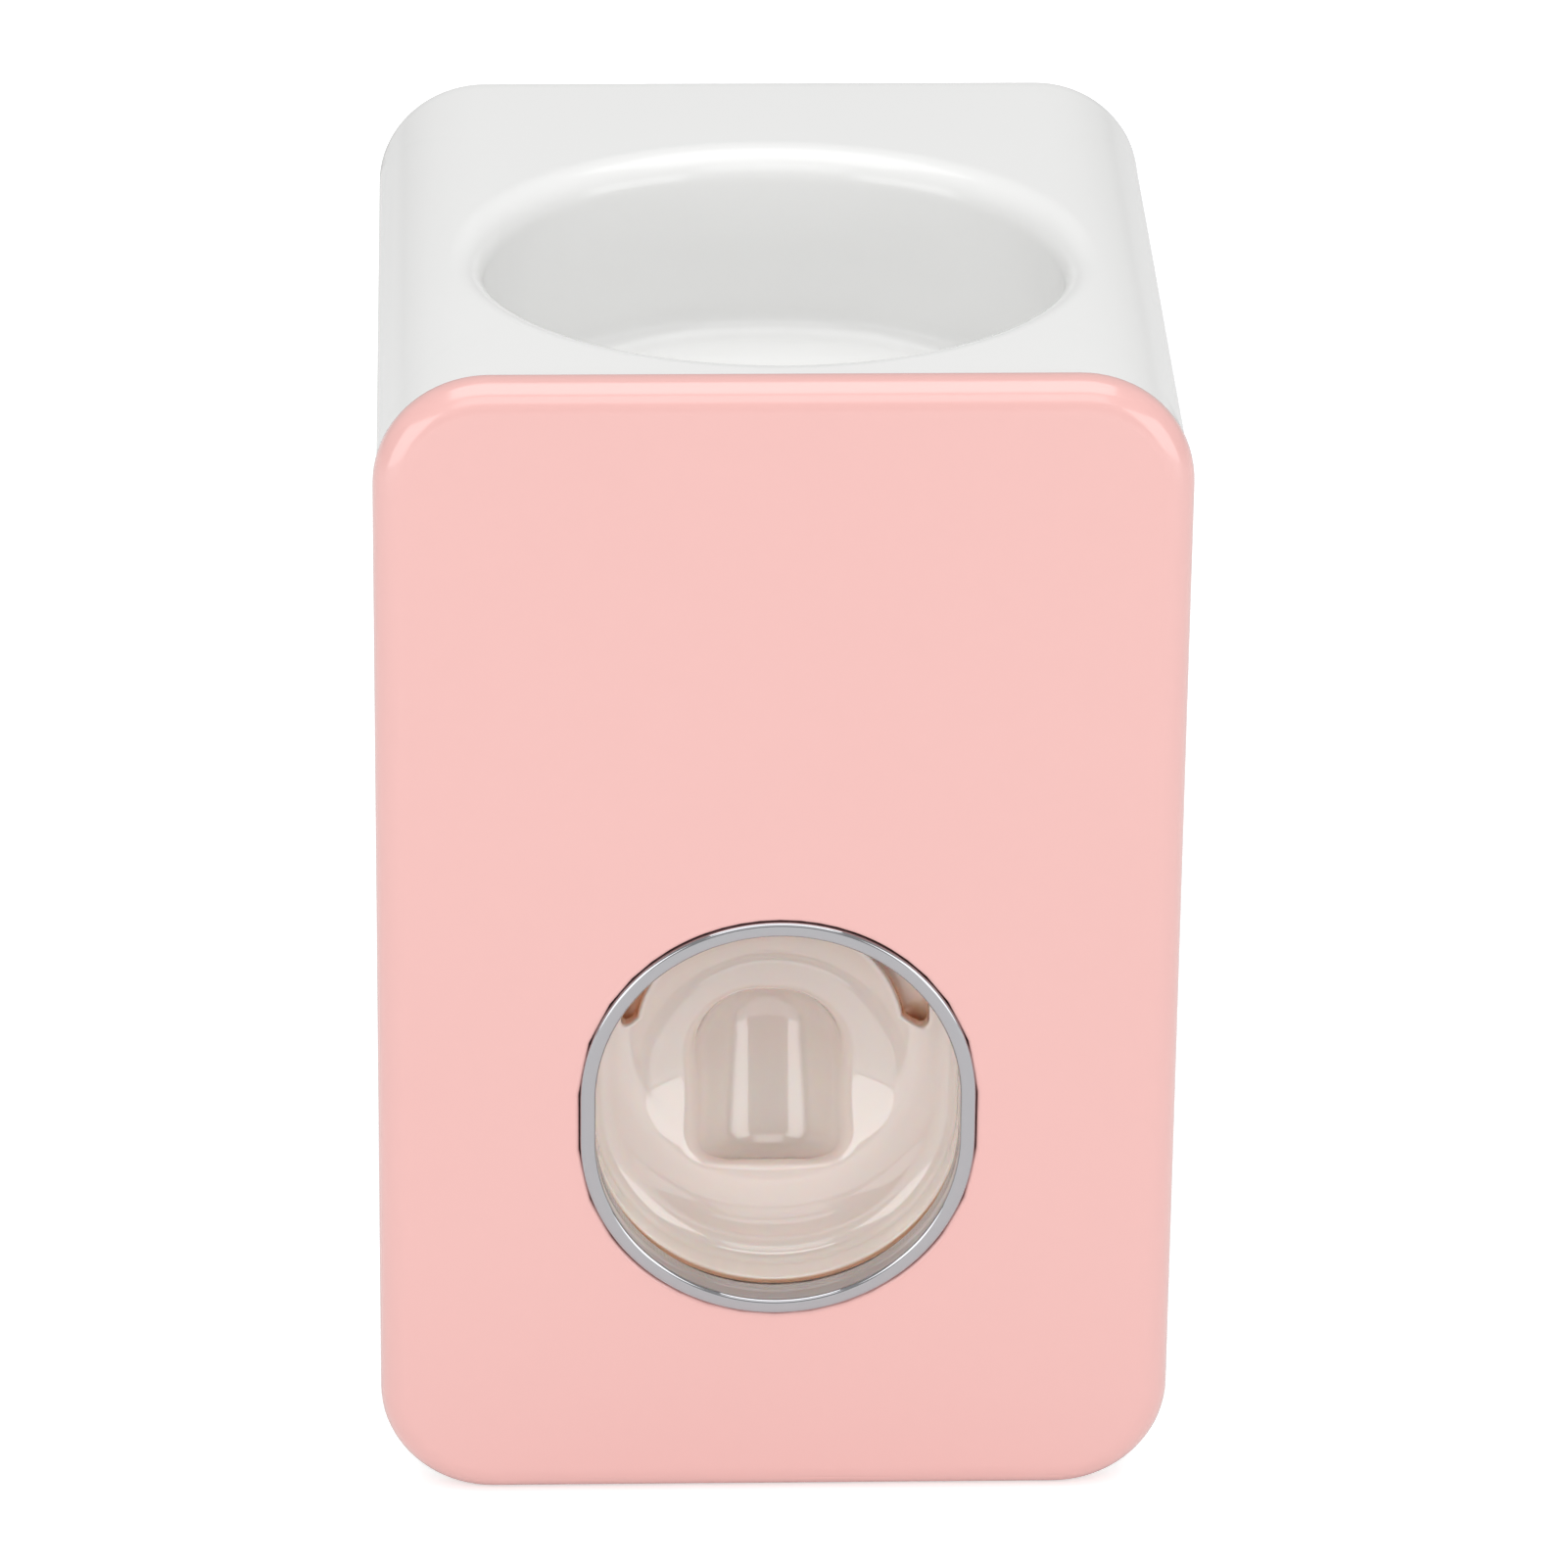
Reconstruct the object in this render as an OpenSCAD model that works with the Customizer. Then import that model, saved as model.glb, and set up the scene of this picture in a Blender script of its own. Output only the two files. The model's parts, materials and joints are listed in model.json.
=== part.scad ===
// Toothpaste dispenser with a push lever: the tube stands nozzle down in the well on top,
// and a brush pushed into the window works a bellows pump that feeds paste to a nozzle above it.
// Millimetres. X is across, the front faces -Y, Z is up, and the origin is the centre of the base.

/* [Housing] */
// Width of the housing
body_w = 65.4; // [62:0.1:76]
// Height of the housing
body_h = 101.2; // [98:0.1:116]
// Depth of the housing behind the front cover
body_d = 63.4; // [62:0.1:74]
// Corner radius of the housing
body_r = 9.1; // [8:0.1:12]
// Wall of the housing
wall = 1.8; // [1.4:0.1:2.2]
// Thickness of the back cover
back_t = 1.8; // [1.4:0.1:2.4]

/* [Tube well] */
// Width of the well across the housing
well_w = 48; // [44:0.1:49]
// Size of the well from front to back
well_l = 42.8; // [38:0.1:44]
// Depth of the well below the top
well_depth = 16.3; // [12:0.1:18]
// Centre of the well behind the housing's front face
well_y = 25.7; // [25:0.1:28]
// Rounding of the well's rim
rim_r = 2.7; // [1.5:0.1:2.9]
// Bore that grips the neck of the tube
neck_bore_d = 11.2; // [9:0.1:13]

/* [Front cover] */
// Thickness of the front cover
cover_t = 3; // [2.4:0.1:3.6]
// How far the cover stands out past the housing at each side and at the top
cover_lip = 0.3; // [0.1:0.05:0.6]
// Rounding of the cover's front edge
edge_r = 1.8; // [1:0.1:2.2]

/* [Window] */
// Width of the window in the front cover
window_w = 34; // [33.6:0.1:36]
// Straight length of the window's sides
window_straight = 3.8; // [2:0.1:6]
// How far the window's centre lies below half the height of the housing
window_drop = 15; // [13:0.1:17]
// Outer width of the window ring
ring_w = 32.7; // [32.2:0.1:33.4]
// Width of the ring's front land
ring_land = 1.3; // [1:0.05:1.5]
// How far the ring stands out of the cover
ring_proud = 0.2; // [0.1:0.05:0.6]

/* [Push lever] */
// Width of the lever's face
lever_w = 31.2; // [30:0.1:31.4]
// Radius of the round bowl in the lever
bowl_r = 11.9; // [11:0.1:12.2]
// How far the bowl's centre lies above the window's
bowl_up = 2.7; // [2:0.1:3.4]
// Width of the niche for the brush head
niche_w = 13.6; // [12:0.1:14.4]
// Wall of the lever
lever_wall = 1.2; // [1:0.1:1.4]
// How far the hinge pins lie above the window's centre
pivot_up = 24.4; // [23.4:0.1:26.4]
// Diameter of the hinge pins
pin_d = 2.5; // [2:0.1:3]

/* [Pump] */
// How far the pump's axis lies above the window's centre
pump_up = 0.9; // [0.4:0.1:1.9]
// Diameter of the plunger's rod
rod_d = 4.8; // [4:0.1:5.4]
// Outer diameter of the bellows
bellows_d = 19; // [17:0.1:19.6]
// Wall of the bellows
bellows_wall = 0.8; // [0.6:0.05:0.9]
// Number of folds in the bellows
folds = 3; // [2:1:4]
// Outer diameter of the return spring
spring_d = 10; // [9:0.1:11]
// Wire of the return spring
wire_d = 0.8; // [0.6:0.05:0.9]
// Number of curls in the return spring
curls = 4; // [3:1:5]
// Bore of the paste pipes
pipe_bore = 4.6; // [4:0.1:5]
// Wall of the paste pipes
pipe_wall = 1.1; // [0.8:0.1:1.3]

/* [Fasteners] */
// Shank diameter of the screws
screw_d = 2.5; // [2:0.1:2.8]
// Head diameter of the screws
head_d = 5; // [4.4:0.1:5.4]
// Diameter of the screw bosses
boss_d = 6.4; // [5.6:0.1:7]

/* [Fits] */
// Gap between parts that move past each other
gap = 0.3; // [0.25:0.05:0.4]
// Radial clearance of pins and rods in their bores
run = 0.05; // [0.02:0.01:0.1]
// Gap round parts that seat in an opening
seat = 0.1; // [0.05:0.05:0.2]

/* [Hidden] */
$fn = 96;
// Clearance of pieces that are pressed together
tight = 0.02;

// Depth stations, from the front face of the cover to the back
y_back = (body_d + cover_t + ring_proud) / 2;
y_body = y_back - body_d;
y_cover = y_body - cover_t;
y_inner = y_body + wall;
y_lid = y_back - back_t;
inner_w = body_w - 2 * wall;
inner_r = body_r - wall;
cover_w = body_w + 2 * cover_lip;
cover_h = body_h + cover_lip;
cover_r = body_r + cover_lip;

// Plate in the front of the housing, which stands on a ledge in its walls
ledge = wall / 2;
plate_h = body_h - 2 * (wall - ledge + seat);

// Heights of the window, the lever and the pump, which move with the housing's height
window_z = body_h / 2 - window_drop;
bowl_z = window_z + bowl_up;
pivot_z = window_z + pivot_up;
pump_z = window_z + pump_up;

// Window, its ring and the seat of the ring in the housing
window_r = window_w / 2;
ring_r = ring_w / 2;
ring_in_r = ring_r - ring_land;
ring_edge = 0.35;
ring_depth = 2.5;
ring_chamfer = 0.8;
window_seat_r = ring_r + seat;
window_edge = window_r - window_seat_r;
flange_w = 1.6;
flange_r = window_r + flange_w;
flange_t = 0.7;

// Lever stations
lever_r = lever_w / 2;
opening_r = lever_r + 2 * gap;
y_lip = y_body + flange_t + gap;
dish = 4.1;
lip_land = 0.4;
y_plate = y_lip + dish;
y_plate_back = y_plate + lever_wall + lip_land;
z_low = window_z - window_straight / 2;
bowl_offset = 1.5;
z_plate_top = bowl_z + bowl_offset;
bowl_y = y_plate - bowl_offset;
niche_r = niche_w / 2;
niche_back = 2.6;
niche_y = bowl_y + bowl_r + niche_back - niche_r;
niche_taper = 0.2;
niche_drop = 10.2;
niche_top_drop = 3.8;
niche_floor = bowl_z - niche_drop;
niche_top = bowl_z - niche_top_drop;
arm_t = 2.2;
arm_d = 4.4;
pivot_back = 1;
eye_wall = 1.9;
pivot_y = y_plate + pivot_back;
eye_r = pin_d / 2 + eye_wall;
nub_r = 3;
nub_drop = 1.5;
nub_sink = 0.8;
nub_z = pump_z - nub_drop;
y_nub = niche_y + niche_r + lever_wall - nub_sink;
y_nub_tip = y_nub + nub_r;
collar_depth = 7;
collar_up = 4.7;
collar_down = 4;
y_web = y_plate + collar_depth;
scoop_lean = 31;
scoop_back = 3;

// Depths of the pump's parts, whose stroke is what the housing leaves
disc_t = 1.6;
disc_r = 7;
guide_t = 2.4;
bush_wall = 1.4;
bush_flange_t = 0.8;
piston_t = 1.6;
rear_t = 2.4;
gasket_t = 0.8;
collar_t = 1.2;
pipe_r = pipe_bore / 2 + pipe_wall;
head_cover = 0.3;
spring_rest = 1.4;
bellows_rest = 1;
head_t = 2 * (pipe_r + head_cover);
spring_solid = curls * wire_d + spring_rest;
bellows_solid = 2 * folds * bellows_wall + collar_t + bellows_rest;
y_disc = y_nub_tip + gap;
travel = (y_lid - y_disc - disc_t - spring_solid - guide_t - bush_flange_t - piston_t
    - bellows_solid - rear_t - gasket_t - head_t - 4 * gap) / 2;

// Pump stations along Y
spring_l = spring_solid + travel;
bellows_l = bellows_solid + travel;
y_guide = y_disc + disc_t + spring_l;
y_piston = y_guide + guide_t + bush_flange_t + gap;
y_bellows = y_piston + piston_t + gap;
y_rear = y_bellows + bellows_l + gap;
y_head = y_rear + rear_t + gasket_t;
rod_r = rod_d / 2;
bellows_r = bellows_d / 2;
collar_w = 1.4;
collar_r = bellows_r + collar_w;
mouth_r = 6.4;
clamp_lip = 1.1;
clamp_wall = 1.6;
bellows_fold = 2.6;
fold_edge = 0.3;

// Cheeks of the pump frame, outside the lever's arms
cheek_x = lever_r + 2 * gap;
cheek_t = 2.2;
boss_l = 8;
y_tab = y_inner + boss_l;
tab_t = 2.2;
boss_x = 25;
tab_wall = 0.6;
tab_r = boss_d / 2 + tab_wall;
boss_below_pump = 16.5;
boss_above_pivot = 8;
boss_z = [pump_z - boss_below_pump, pivot_z + boss_above_pivot];
guide_up = 10;

// Paste path
port_x = 7;
spigot_r = pipe_bore / 2 - seat;
spigot_wall = 0.8;
spigot_bore_r = spigot_r - spigot_wall;
y_port = y_head + head_t / 2;
port_l = 4;
chamber_wall = 0.5;
chamber_r = head_t / 2 - chamber_wall;
chamber_h = 4;
z_chamber = pump_z + chamber_h;
valve_t = 1;
valve_r = chamber_r - gap;
stem_r = 0.9;
head_w = 33;
head_up = 13;
head_down = 11;
head_r = 3.4;
z_head_top = pump_z + head_up;
y_well = y_body + well_y;
z_floor = body_h - well_depth;
floor_t = 2;
floor_r = 2;
socket_wall = 5;
socket_r = neck_bore_d / 2 + socket_wall;
socket_rim = 0.8;
socket_flange = 2.4;
socket_flange_t = 1.7;
socket_drop = 9;
socket_bottom = 1.4;
seal_wall = 3.2;
seal_h = 6;
seal_lead = 1.4;
seal_sink = 0.7;
seal_ledge = 1;
z_seal = z_floor - seal_sink - seal_h;
z_socket_low = z_floor - socket_drop;
socket_spigot_l = 3;
bend_clear = 0.8;
bend_r = pipe_r + bend_clear;
z_feed = z_socket_low - socket_spigot_l - bend_r;
z_outlet_low = z_head_top + bend_r;
outlet_share = 0.2867;
z_outlet = z_outlet_low + (z_feed - z_outlet_low) * outlet_share;
nozzle_back = 4.5;
y_nozzle = y_plate + nozzle_back;
nozzle_plug = 2;
nozzle_tip = 2.5;
nozzle_bore_r = 1.3;
z_nozzle = z_outlet - bend_r - nozzle_plug;

// Back cover fasteners and hanging keyholes
back_boss_side = 0.6;
back_boss_up = 5;
back_boss_x = inner_w / 2 - boss_d / 2 - back_boss_side;
back_boss_low = wall + boss_d / 2 + back_boss_up;
back_boss_z = [back_boss_low, body_h - back_boss_low];
back_boss_l = 14;
key_x = 15;
key_below_top = 31.2;
key_z = body_h - key_below_top;
key_head_r = 4.2;
key_slot_r = 2.2;
key_rise = 7;
peg_r = 1.6;
peg_wall = 1.4;
peg_l = 3.4;
peg_x = 26;
peg_up = 10;
peg_below_top = 13.2;
peg_z = [peg_up, body_h - peg_below_top];
screw_l = 7;
head_h = 1.4;
recess = 1;
web_t = 2.4;

white = [0.93, 0.93, 0.92];
pink = [0.97, 0.78, 0.76];
chrome = [0.75, 0.75, 0.77];
cream = [0.88, 0.83, 0.80];
clear_grey = [0.85, 0.86, 0.86];
steel = [0.62, 0.63, 0.65];

// Outline of a rectangle with round corners, standing on the X axis
module rounded_outline(w, h, r) {
    translate([-w / 2 + r, 0]) square([w - 2 * r, h]);
    translate([-w / 2, r]) square([w, h - 2 * r]);
    for (x = [-1, 1], z = [r, h - r]) translate([x * (w / 2 - r), z]) circle(r);
}

// Outline of the window: two half circles joined by straight sides
module window_outline(r) {
    for (s = [-1, 1]) translate([0, window_z + s * window_straight / 2]) circle(r);
    translate([-r, window_z - window_straight / 2]) square([2 * r, window_straight]);
}

// Turns an outline drawn in X and Z into a slab from y0 to y1
module slab(y0, y1) {
    translate([0, y1, 0]) rotate([90, 0, 0]) linear_extrude(y1 - y0) children();
}

// A cylinder along Y from y0 to y1
module rod(y0, y1, r, x = 0, z = 0) {
    translate([x, y0, z]) rotate([-90, 0, 0]) cylinder(h = y1 - y0, r = r);
}

// Carries a profile, drawn as distance from the window's spine and depth, round the window
module round_window() {
    for (s = [0, 1])
        translate([0, 0, window_z + (s == 0 ? -1 : 1) * window_straight / 2])
            rotate([90, 0, 0]) mirror([0, 0, 1]) rotate([0, 0, s == 0 ? 180 : 0])
                rotate_extrude(angle = 180) children();
    for (s = [0, 1])
        translate([0, 0, window_z - window_straight / 2]) mirror([s, 0, 0])
            linear_extrude(window_straight) children();
}

// Ring of points on an ellipse that lies d outside the wall of the well, at height z
function well_ring(d, z, n) = [for (i = [0:n - 1])
    [(well_w / 2 + d) * cos(360 * i / n), y_well + (well_l / 2 + d) * sin(360 * i / n), z]];

// Closed loft through elliptical rings, given as [distance outside the wall, height]
module well_loft(rows, n = 72) {
    m = len(rows);
    points = [for (row = rows) each well_ring(row[0], row[1], n)];
    sides = [for (k = [0:m - 2], i = [0:n - 1]) each
        let (a = k * n + i, b = k * n + (i + 1) % n)
        [[a, a + n, b], [b, a + n, b + n]]];
    floor_face = [for (i = [0:n - 1]) i];
    roof_face = [for (i = [n - 1:-1:0]) (m - 1) * n + i];
    polyhedron(points, concat([floor_face, roof_face], sides), convexity = 4);
}

well_rows = concat(
    [for (t = [0:22.5:90]) [floor_r * (sin(t) - 1), z_floor + floor_r * (1 - cos(t))]],
    [for (t = [0:15:90]) [rim_r * (1 - cos(t)), body_h - rim_r * (1 - sin(t))]],
    [[rim_r, body_h + 1]]);
well_shell_rows = [[wall, z_floor - floor_t], [wall, body_h - wall / 2]];

module frame_boss_places() {
    for (x = [-boss_x, boss_x], z = boss_z) translate([x, 0, z]) children();
}

module back_boss_places() {
    for (x = [-back_boss_x, back_boss_x], z = back_boss_z) translate([x, 0, z]) children();
}

module peg_places() {
    for (x = [-peg_x, peg_x], z = peg_z) translate([x, 0, z]) children();
}

module head_screw_places() {
    for (x = [-1, 1], z = [pump_z - head_down + head_r, pump_z + head_up - head_r])
        translate([x * (head_w / 2 - head_r), 0, z]) children();
}

// White housing: four walls round the tube well, with bosses for the back cover
module main_body() {
    color(white) difference() {
        union() {
            difference() {
                slab(y_body, y_back) rounded_outline(body_w, body_h, body_r);
                slab(y_inner - 1, y_back + 1) translate([0, wall])
                    rounded_outline(inner_w, body_h - 2 * wall, inner_r);
                slab(y_body - 1, y_inner) translate([0, wall - ledge])
                    rounded_outline(inner_w + 2 * ledge, body_h - 2 * (wall - ledge), inner_r + ledge);
            }
            well_loft(well_shell_rows);
            back_boss_places() rod(y_lid - back_boss_l, y_lid, boss_d / 2);
            for (s = [0, 1], z = back_boss_z) mirror([s, 0, 0])
                translate([back_boss_x, y_lid - back_boss_l, z - web_t / 2])
                    cube([body_w / 2 - wall / 2 - back_boss_x, back_boss_l, web_t]);
        }
        well_loft(well_rows);
        translate([0, y_well, z_floor - floor_t - 1])
            cylinder(h = floor_t + 2, r = socket_r + seat);
        back_boss_places() rod(y_lid - screw_l, y_lid + 1, screw_d / 2 + run);
    }
}

// White plate on the housing's ledge, with the lever's opening, the ring's seat and bosses
module front_plate() {
    color(white) difference() {
        union() {
            slab(y_body, y_inner) translate([0, wall - ledge + seat])
                rounded_outline(inner_w + 2 * (ledge - seat), plate_h, inner_r + ledge - seat);
            frame_boss_places() rod(y_inner - 0.5, y_tab, boss_d / 2);
            peg_places() rod(y_inner - 0.5, y_body + peg_l + gap + wall / 2, peg_r + peg_wall);
        }
        slab(y_body - 1, y_inner + 1) window_outline(opening_r);
        slab(y_body - 1, y_body + flange_t) window_outline(flange_r + seat);
        frame_boss_places() rod(y_tab - screw_l, y_tab + 1, screw_d / 2 + run);
        peg_places() rod(y_body - 1, y_body + peg_l + gap, peg_r + seat);
    }
}

// One quarter or edge of the cover's rounded front border, as distance inwards and depth
module cover_border(r) {
    difference() {
        square([r, cover_t]);
        translate([r - edge_r, cover_t - edge_r]) difference() {
            square([edge_r + 1, edge_r + 1]);
            circle(edge_r);
        }
    }
}

// Pink front panel with a rounded front edge, a window with a rounded rim and four snap pegs
module front_cover() {
    color(pink) difference() {
        union() {
            translate([0, y_body, 0]) rotate([90, 0, 0]) cover_panel();
            peg_places() rod(y_body - 0.5, y_body + peg_l, peg_r);
        }
        slab(y_cover - 1, y_body + 1) window_outline(window_seat_r);
        round_window() difference() {
            translate([window_seat_r - 1, y_cover - 1]) square([window_edge + 1, window_edge + 1]);
            translate([window_r, y_cover + window_edge]) circle(window_edge);
        }
    }
}

// The panel lying flat, built of corners, edges and a middle that meet face to face
module cover_panel() {
    dx = cover_w / 2 - cover_r;
    translate([-dx, cover_r, 0]) cube([2 * dx, cover_h - 2 * cover_r, cover_t]);
    translate([dx, cover_r, 0]) rotate([90, 0, 180])
        mirror([1, 0, 0]) linear_extrude(cover_h - 2 * cover_r) cover_border(cover_r);
    translate([-dx, cover_h - cover_r, 0]) rotate([90, 0, 0])
        mirror([1, 0, 0]) linear_extrude(cover_h - 2 * cover_r) cover_border(cover_r);
    translate([dx, cover_h - cover_r, 0]) rotate([90, 0, -90])
        mirror([1, 0, 0]) linear_extrude(2 * dx) cover_border(cover_r);
    translate([-dx, cover_r, 0]) rotate([90, 0, 90])
        mirror([1, 0, 0]) linear_extrude(2 * dx) cover_border(cover_r);
    corner_turns = [[dx, cover_h - cover_r, 0], [-dx, cover_h - cover_r, 90],
        [-dx, cover_r, 180], [dx, cover_r, 270]];
    for (c = corner_turns)
        translate([c[0], c[1], 0]) rotate([0, 0, c[2]])
            rotate_extrude(angle = 90) cover_border(cover_r);
}

// Chrome ring: a bead in the window, chamfered behind, on a flange trapped by the cover
module window_ring() {
    color(chrome) round_window() {
        difference() {
            translate([ring_in_r, y_cover - ring_proud])
                square([ring_land, y_body + flange_t - y_cover + ring_proud]);
            translate([ring_in_r - 1, y_cover - ring_proud - 1])
                square([1 + ring_edge, 1 + ring_edge]);
            translate([ring_r - ring_edge, y_cover - ring_proud - 1])
                square([1 + ring_edge, 1 + ring_edge]);
            polygon([[ring_in_r - 1, y_cover + ring_depth - ring_chamfer],
                [ring_in_r + ring_chamfer, y_body + flange_t],
                [ring_in_r + ring_chamfer, y_body + flange_t + 1], [ring_in_r - 1, y_body + flange_t + 1]]);
        }
        for (d = [ring_in_r + ring_edge, ring_r - ring_edge])
            translate([d, y_cover - ring_proud + ring_edge]) circle(ring_edge);
        translate([ring_r - ring_edge, y_body]) square([flange_r - ring_r + ring_edge, flange_t]);
    }
}

// White plate that closes the back, with screw recesses and two hanging keyholes
module back_cover() {
    color(white) difference() {
        slab(y_lid, y_back) translate([0, wall + seat])
            rounded_outline(inner_w - 2 * seat, body_h - 2 * wall - 2 * seat, inner_r - seat);
        back_boss_places() rod(y_lid - 1, y_back + 1, screw_d / 2 + seat);
        back_boss_places() rod(y_back - recess, y_back + 1, head_d / 2 + seat);
        for (x = [-key_x, key_x]) {
            rod(y_lid - 1, y_back + 1, key_head_r, x, key_z);
            rod(y_lid - 1, y_back + 1, key_slot_r, x, key_z + key_rise);
            slab(y_lid - 1, y_back + 1) translate([x - key_slot_r, key_z])
                square([2 * key_slot_r, key_rise]);
        }
    }
}

// White cup in the well's floor that takes the seal and ends in a spigot
module tube_socket() {
    seal_r = neck_bore_d / 2 + seal_wall;
    color(white) translate([0, y_well, 0]) difference() {
        union() {
            translate([0, 0, z_socket_low])
                cylinder(h = socket_drop + socket_rim, r = socket_r);
            translate([0, 0, z_floor - floor_t - socket_flange_t])
                cylinder(h = socket_flange_t, r = socket_r + socket_flange);
            translate([0, 0, z_socket_low - socket_spigot_l])
                cylinder(h = socket_spigot_l + 1, r = spigot_r);
        }
        translate([0, 0, z_seal]) cylinder(h = seal_h + seal_sink + socket_rim + 1, r = seal_r + seat);
        translate([0, 0, z_socket_low + socket_bottom])
            cylinder(h = z_seal - z_socket_low - socket_bottom + 0.01, r1 = spigot_bore_r,
                r2 = seal_r - seal_ledge);
        translate([0, 0, z_socket_low - socket_spigot_l - 1])
            cylinder(h = socket_spigot_l + socket_bottom + 1.1, r = spigot_bore_r);
    }
}

// Silicone ring that grips the neck of the toothpaste tube
module tube_seal() {
    bore_r = neck_bore_d / 2;
    color(clear_grey) translate([0, y_well, z_seal]) rotate_extrude()
        polygon([[bore_r, 0], [bore_r + seal_wall, 0], [bore_r + seal_wall, seal_h],
            [bore_r + seal_lead, seal_h], [bore_r, seal_h - seal_lead]]);
}

// Pipe with two square bends: down or up from the start, level at z_run, then to the end
module pipe_body(start, end, z_run, r, over) {
    run_l = norm([end[0] - start[0], end[1] - start[1]]);
    s = start[2] > z_run ? 1 : -1;
    e = end[2] > z_run ? 1 : -1;
    translate([start[0], start[1], z_run])
        rotate([0, 0, atan2(end[1] - start[1], end[0] - start[0])]) {
            leg(0, s, abs(start[2] - z_run) - bend_r + over, r);
            bend(bend_r, s, s > 0 ? 180 : 90, r);
            translate([bend_r, 0, 0]) rotate([0, 90, 0]) cylinder(h = run_l - 2 * bend_r, r = r);
            bend(run_l - bend_r, e, e > 0 ? 270 : 0, r);
            leg(run_l, e, abs(end[2] - z_run) - bend_r + over, r);
        }
}

// Upright end of a pipe, above its level run for side 1 and below it for side -1
module leg(u, side, length, r) {
    translate([u, 0, side > 0 ? bend_r : -bend_r - length]) cylinder(h = length, r = r);
}

// Quarter bend whose centre lies at u along the run
module bend(u, side, turn, r) {
    translate([u, 0, side * bend_r]) rotate([90, 0, 0]) rotate([0, 0, turn])
        rotate_extrude(angle = 90) translate([bend_r, 0]) circle(r);
}

module pipe_route(start, end, z_run) {
    difference() {
        pipe_body(start, end, z_run, pipe_r, 0);
        pipe_body(start, end, z_run, pipe_bore / 2, 1);
    }
}

// Silicone pipe from the tube socket to the pump's inlet
module feed_pipe() {
    color(clear_grey)
        pipe_route([0, y_well, z_socket_low], [-port_x, y_port, z_head_top], z_feed);
}

// Silicone pipe from the pump's outlet to the nozzle above the window
module outlet_pipe() {
    color(clear_grey) pipe_route([port_x, y_port, z_head_top], [0, y_nozzle, z_nozzle], z_outlet);
}

// Soft tip with a fine outlet, plugged into the end of the outlet pipe
module nozzle() {
    tip_r = pipe_r - pipe_wall;
    color(cream) translate([0, y_nozzle, 0]) difference() {
        union() {
            translate([0, 0, z_nozzle - 0.5]) cylinder(h = nozzle_plug + 0.5, r = pipe_bore / 2 - seat);
            translate([0, 0, z_nozzle - nozzle_tip]) cylinder(h = nozzle_tip, r1 = tip_r, r2 = pipe_r);
        }
        translate([0, 0, z_nozzle - nozzle_tip - 1])
            cylinder(h = nozzle_tip + nozzle_plug + 2, r = nozzle_bore_r);
    }
}

// Side of a cheek, drawn in Y and Z
module cheek_outline() {
    polygon([[y_tab, boss_z[0] - tab_r], [y_tab + boss_l, boss_z[0] - tab_r],
        [y_rear + rear_t, pump_z - head_down], [y_rear + rear_t, pump_z + head_up],
        [y_tab + boss_l, boss_z[1] + tab_r], [y_tab, boss_z[1] + tab_r]]);
    translate([pivot_y, pivot_z]) circle(eye_r);
    translate([pivot_y, pivot_z - eye_r]) square([y_tab - pivot_y + 1, 2 * eye_r]);
}

// Bracket that carries the hinge, the plunger's guide and the pump behind the front wall
module pump_frame() {
    color(white) difference() {
        union() {
            for (s = [0, 1]) mirror([s, 0, 0])
                translate([cheek_x, 0, 0]) rotate([90, 0, 90])
                    linear_extrude(cheek_t) cheek_outline();
            frame_boss_places() rod(y_tab, y_tab + tab_t, tab_r);
            for (s = [0, 1], z = boss_z) mirror([s, 0, 0])
                translate([cheek_x, y_tab, z - tab_r])
                    cube([boss_x - cheek_x, tab_t, 2 * tab_r]);
            translate([-cheek_x - 1, y_guide, pump_z - guide_up])
                cube([2 * cheek_x + 2, guide_t, 2 * guide_up]);
            translate([-cheek_x - 1, y_rear, pump_z - head_down])
                cube([2 * cheek_x + 2, rear_t, head_up + head_down]);
        }
        frame_boss_places() rod(y_tab - 1, y_tab + tab_t + 1, screw_d / 2 + seat);
        translate([-cheek_x - cheek_t - 1, pivot_y, pivot_z]) rotate([0, 90, 0])
            cylinder(h = 2 * (cheek_x + cheek_t + 1), r = pin_d / 2 + tight);
        rod(y_guide - 1, y_guide + guide_t + 1, rod_r + bush_wall, 0, pump_z);
        rod(y_rear - 1, y_rear + rear_t + 1, mouth_r + seat, 0, pump_z);
        head_screw_places() rod(y_rear - 1, y_rear + rear_t + 1, screw_d / 2 + run);
    }
}

// Flanged bush in the guide wall
module guide_bush() {
    color(clear_grey) difference() {
        union() {
            rod(y_guide, y_guide + guide_t + bush_flange_t, rod_r + bush_wall - tight, 0, pump_z);
            rod(y_guide + guide_t, y_guide + guide_t + bush_flange_t, rod_r + 2 * bush_wall, 0, pump_z);
        }
        rod(y_guide - 1, y_guide + guide_t + 2, rod_r + run, 0, pump_z);
    }
}

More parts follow.
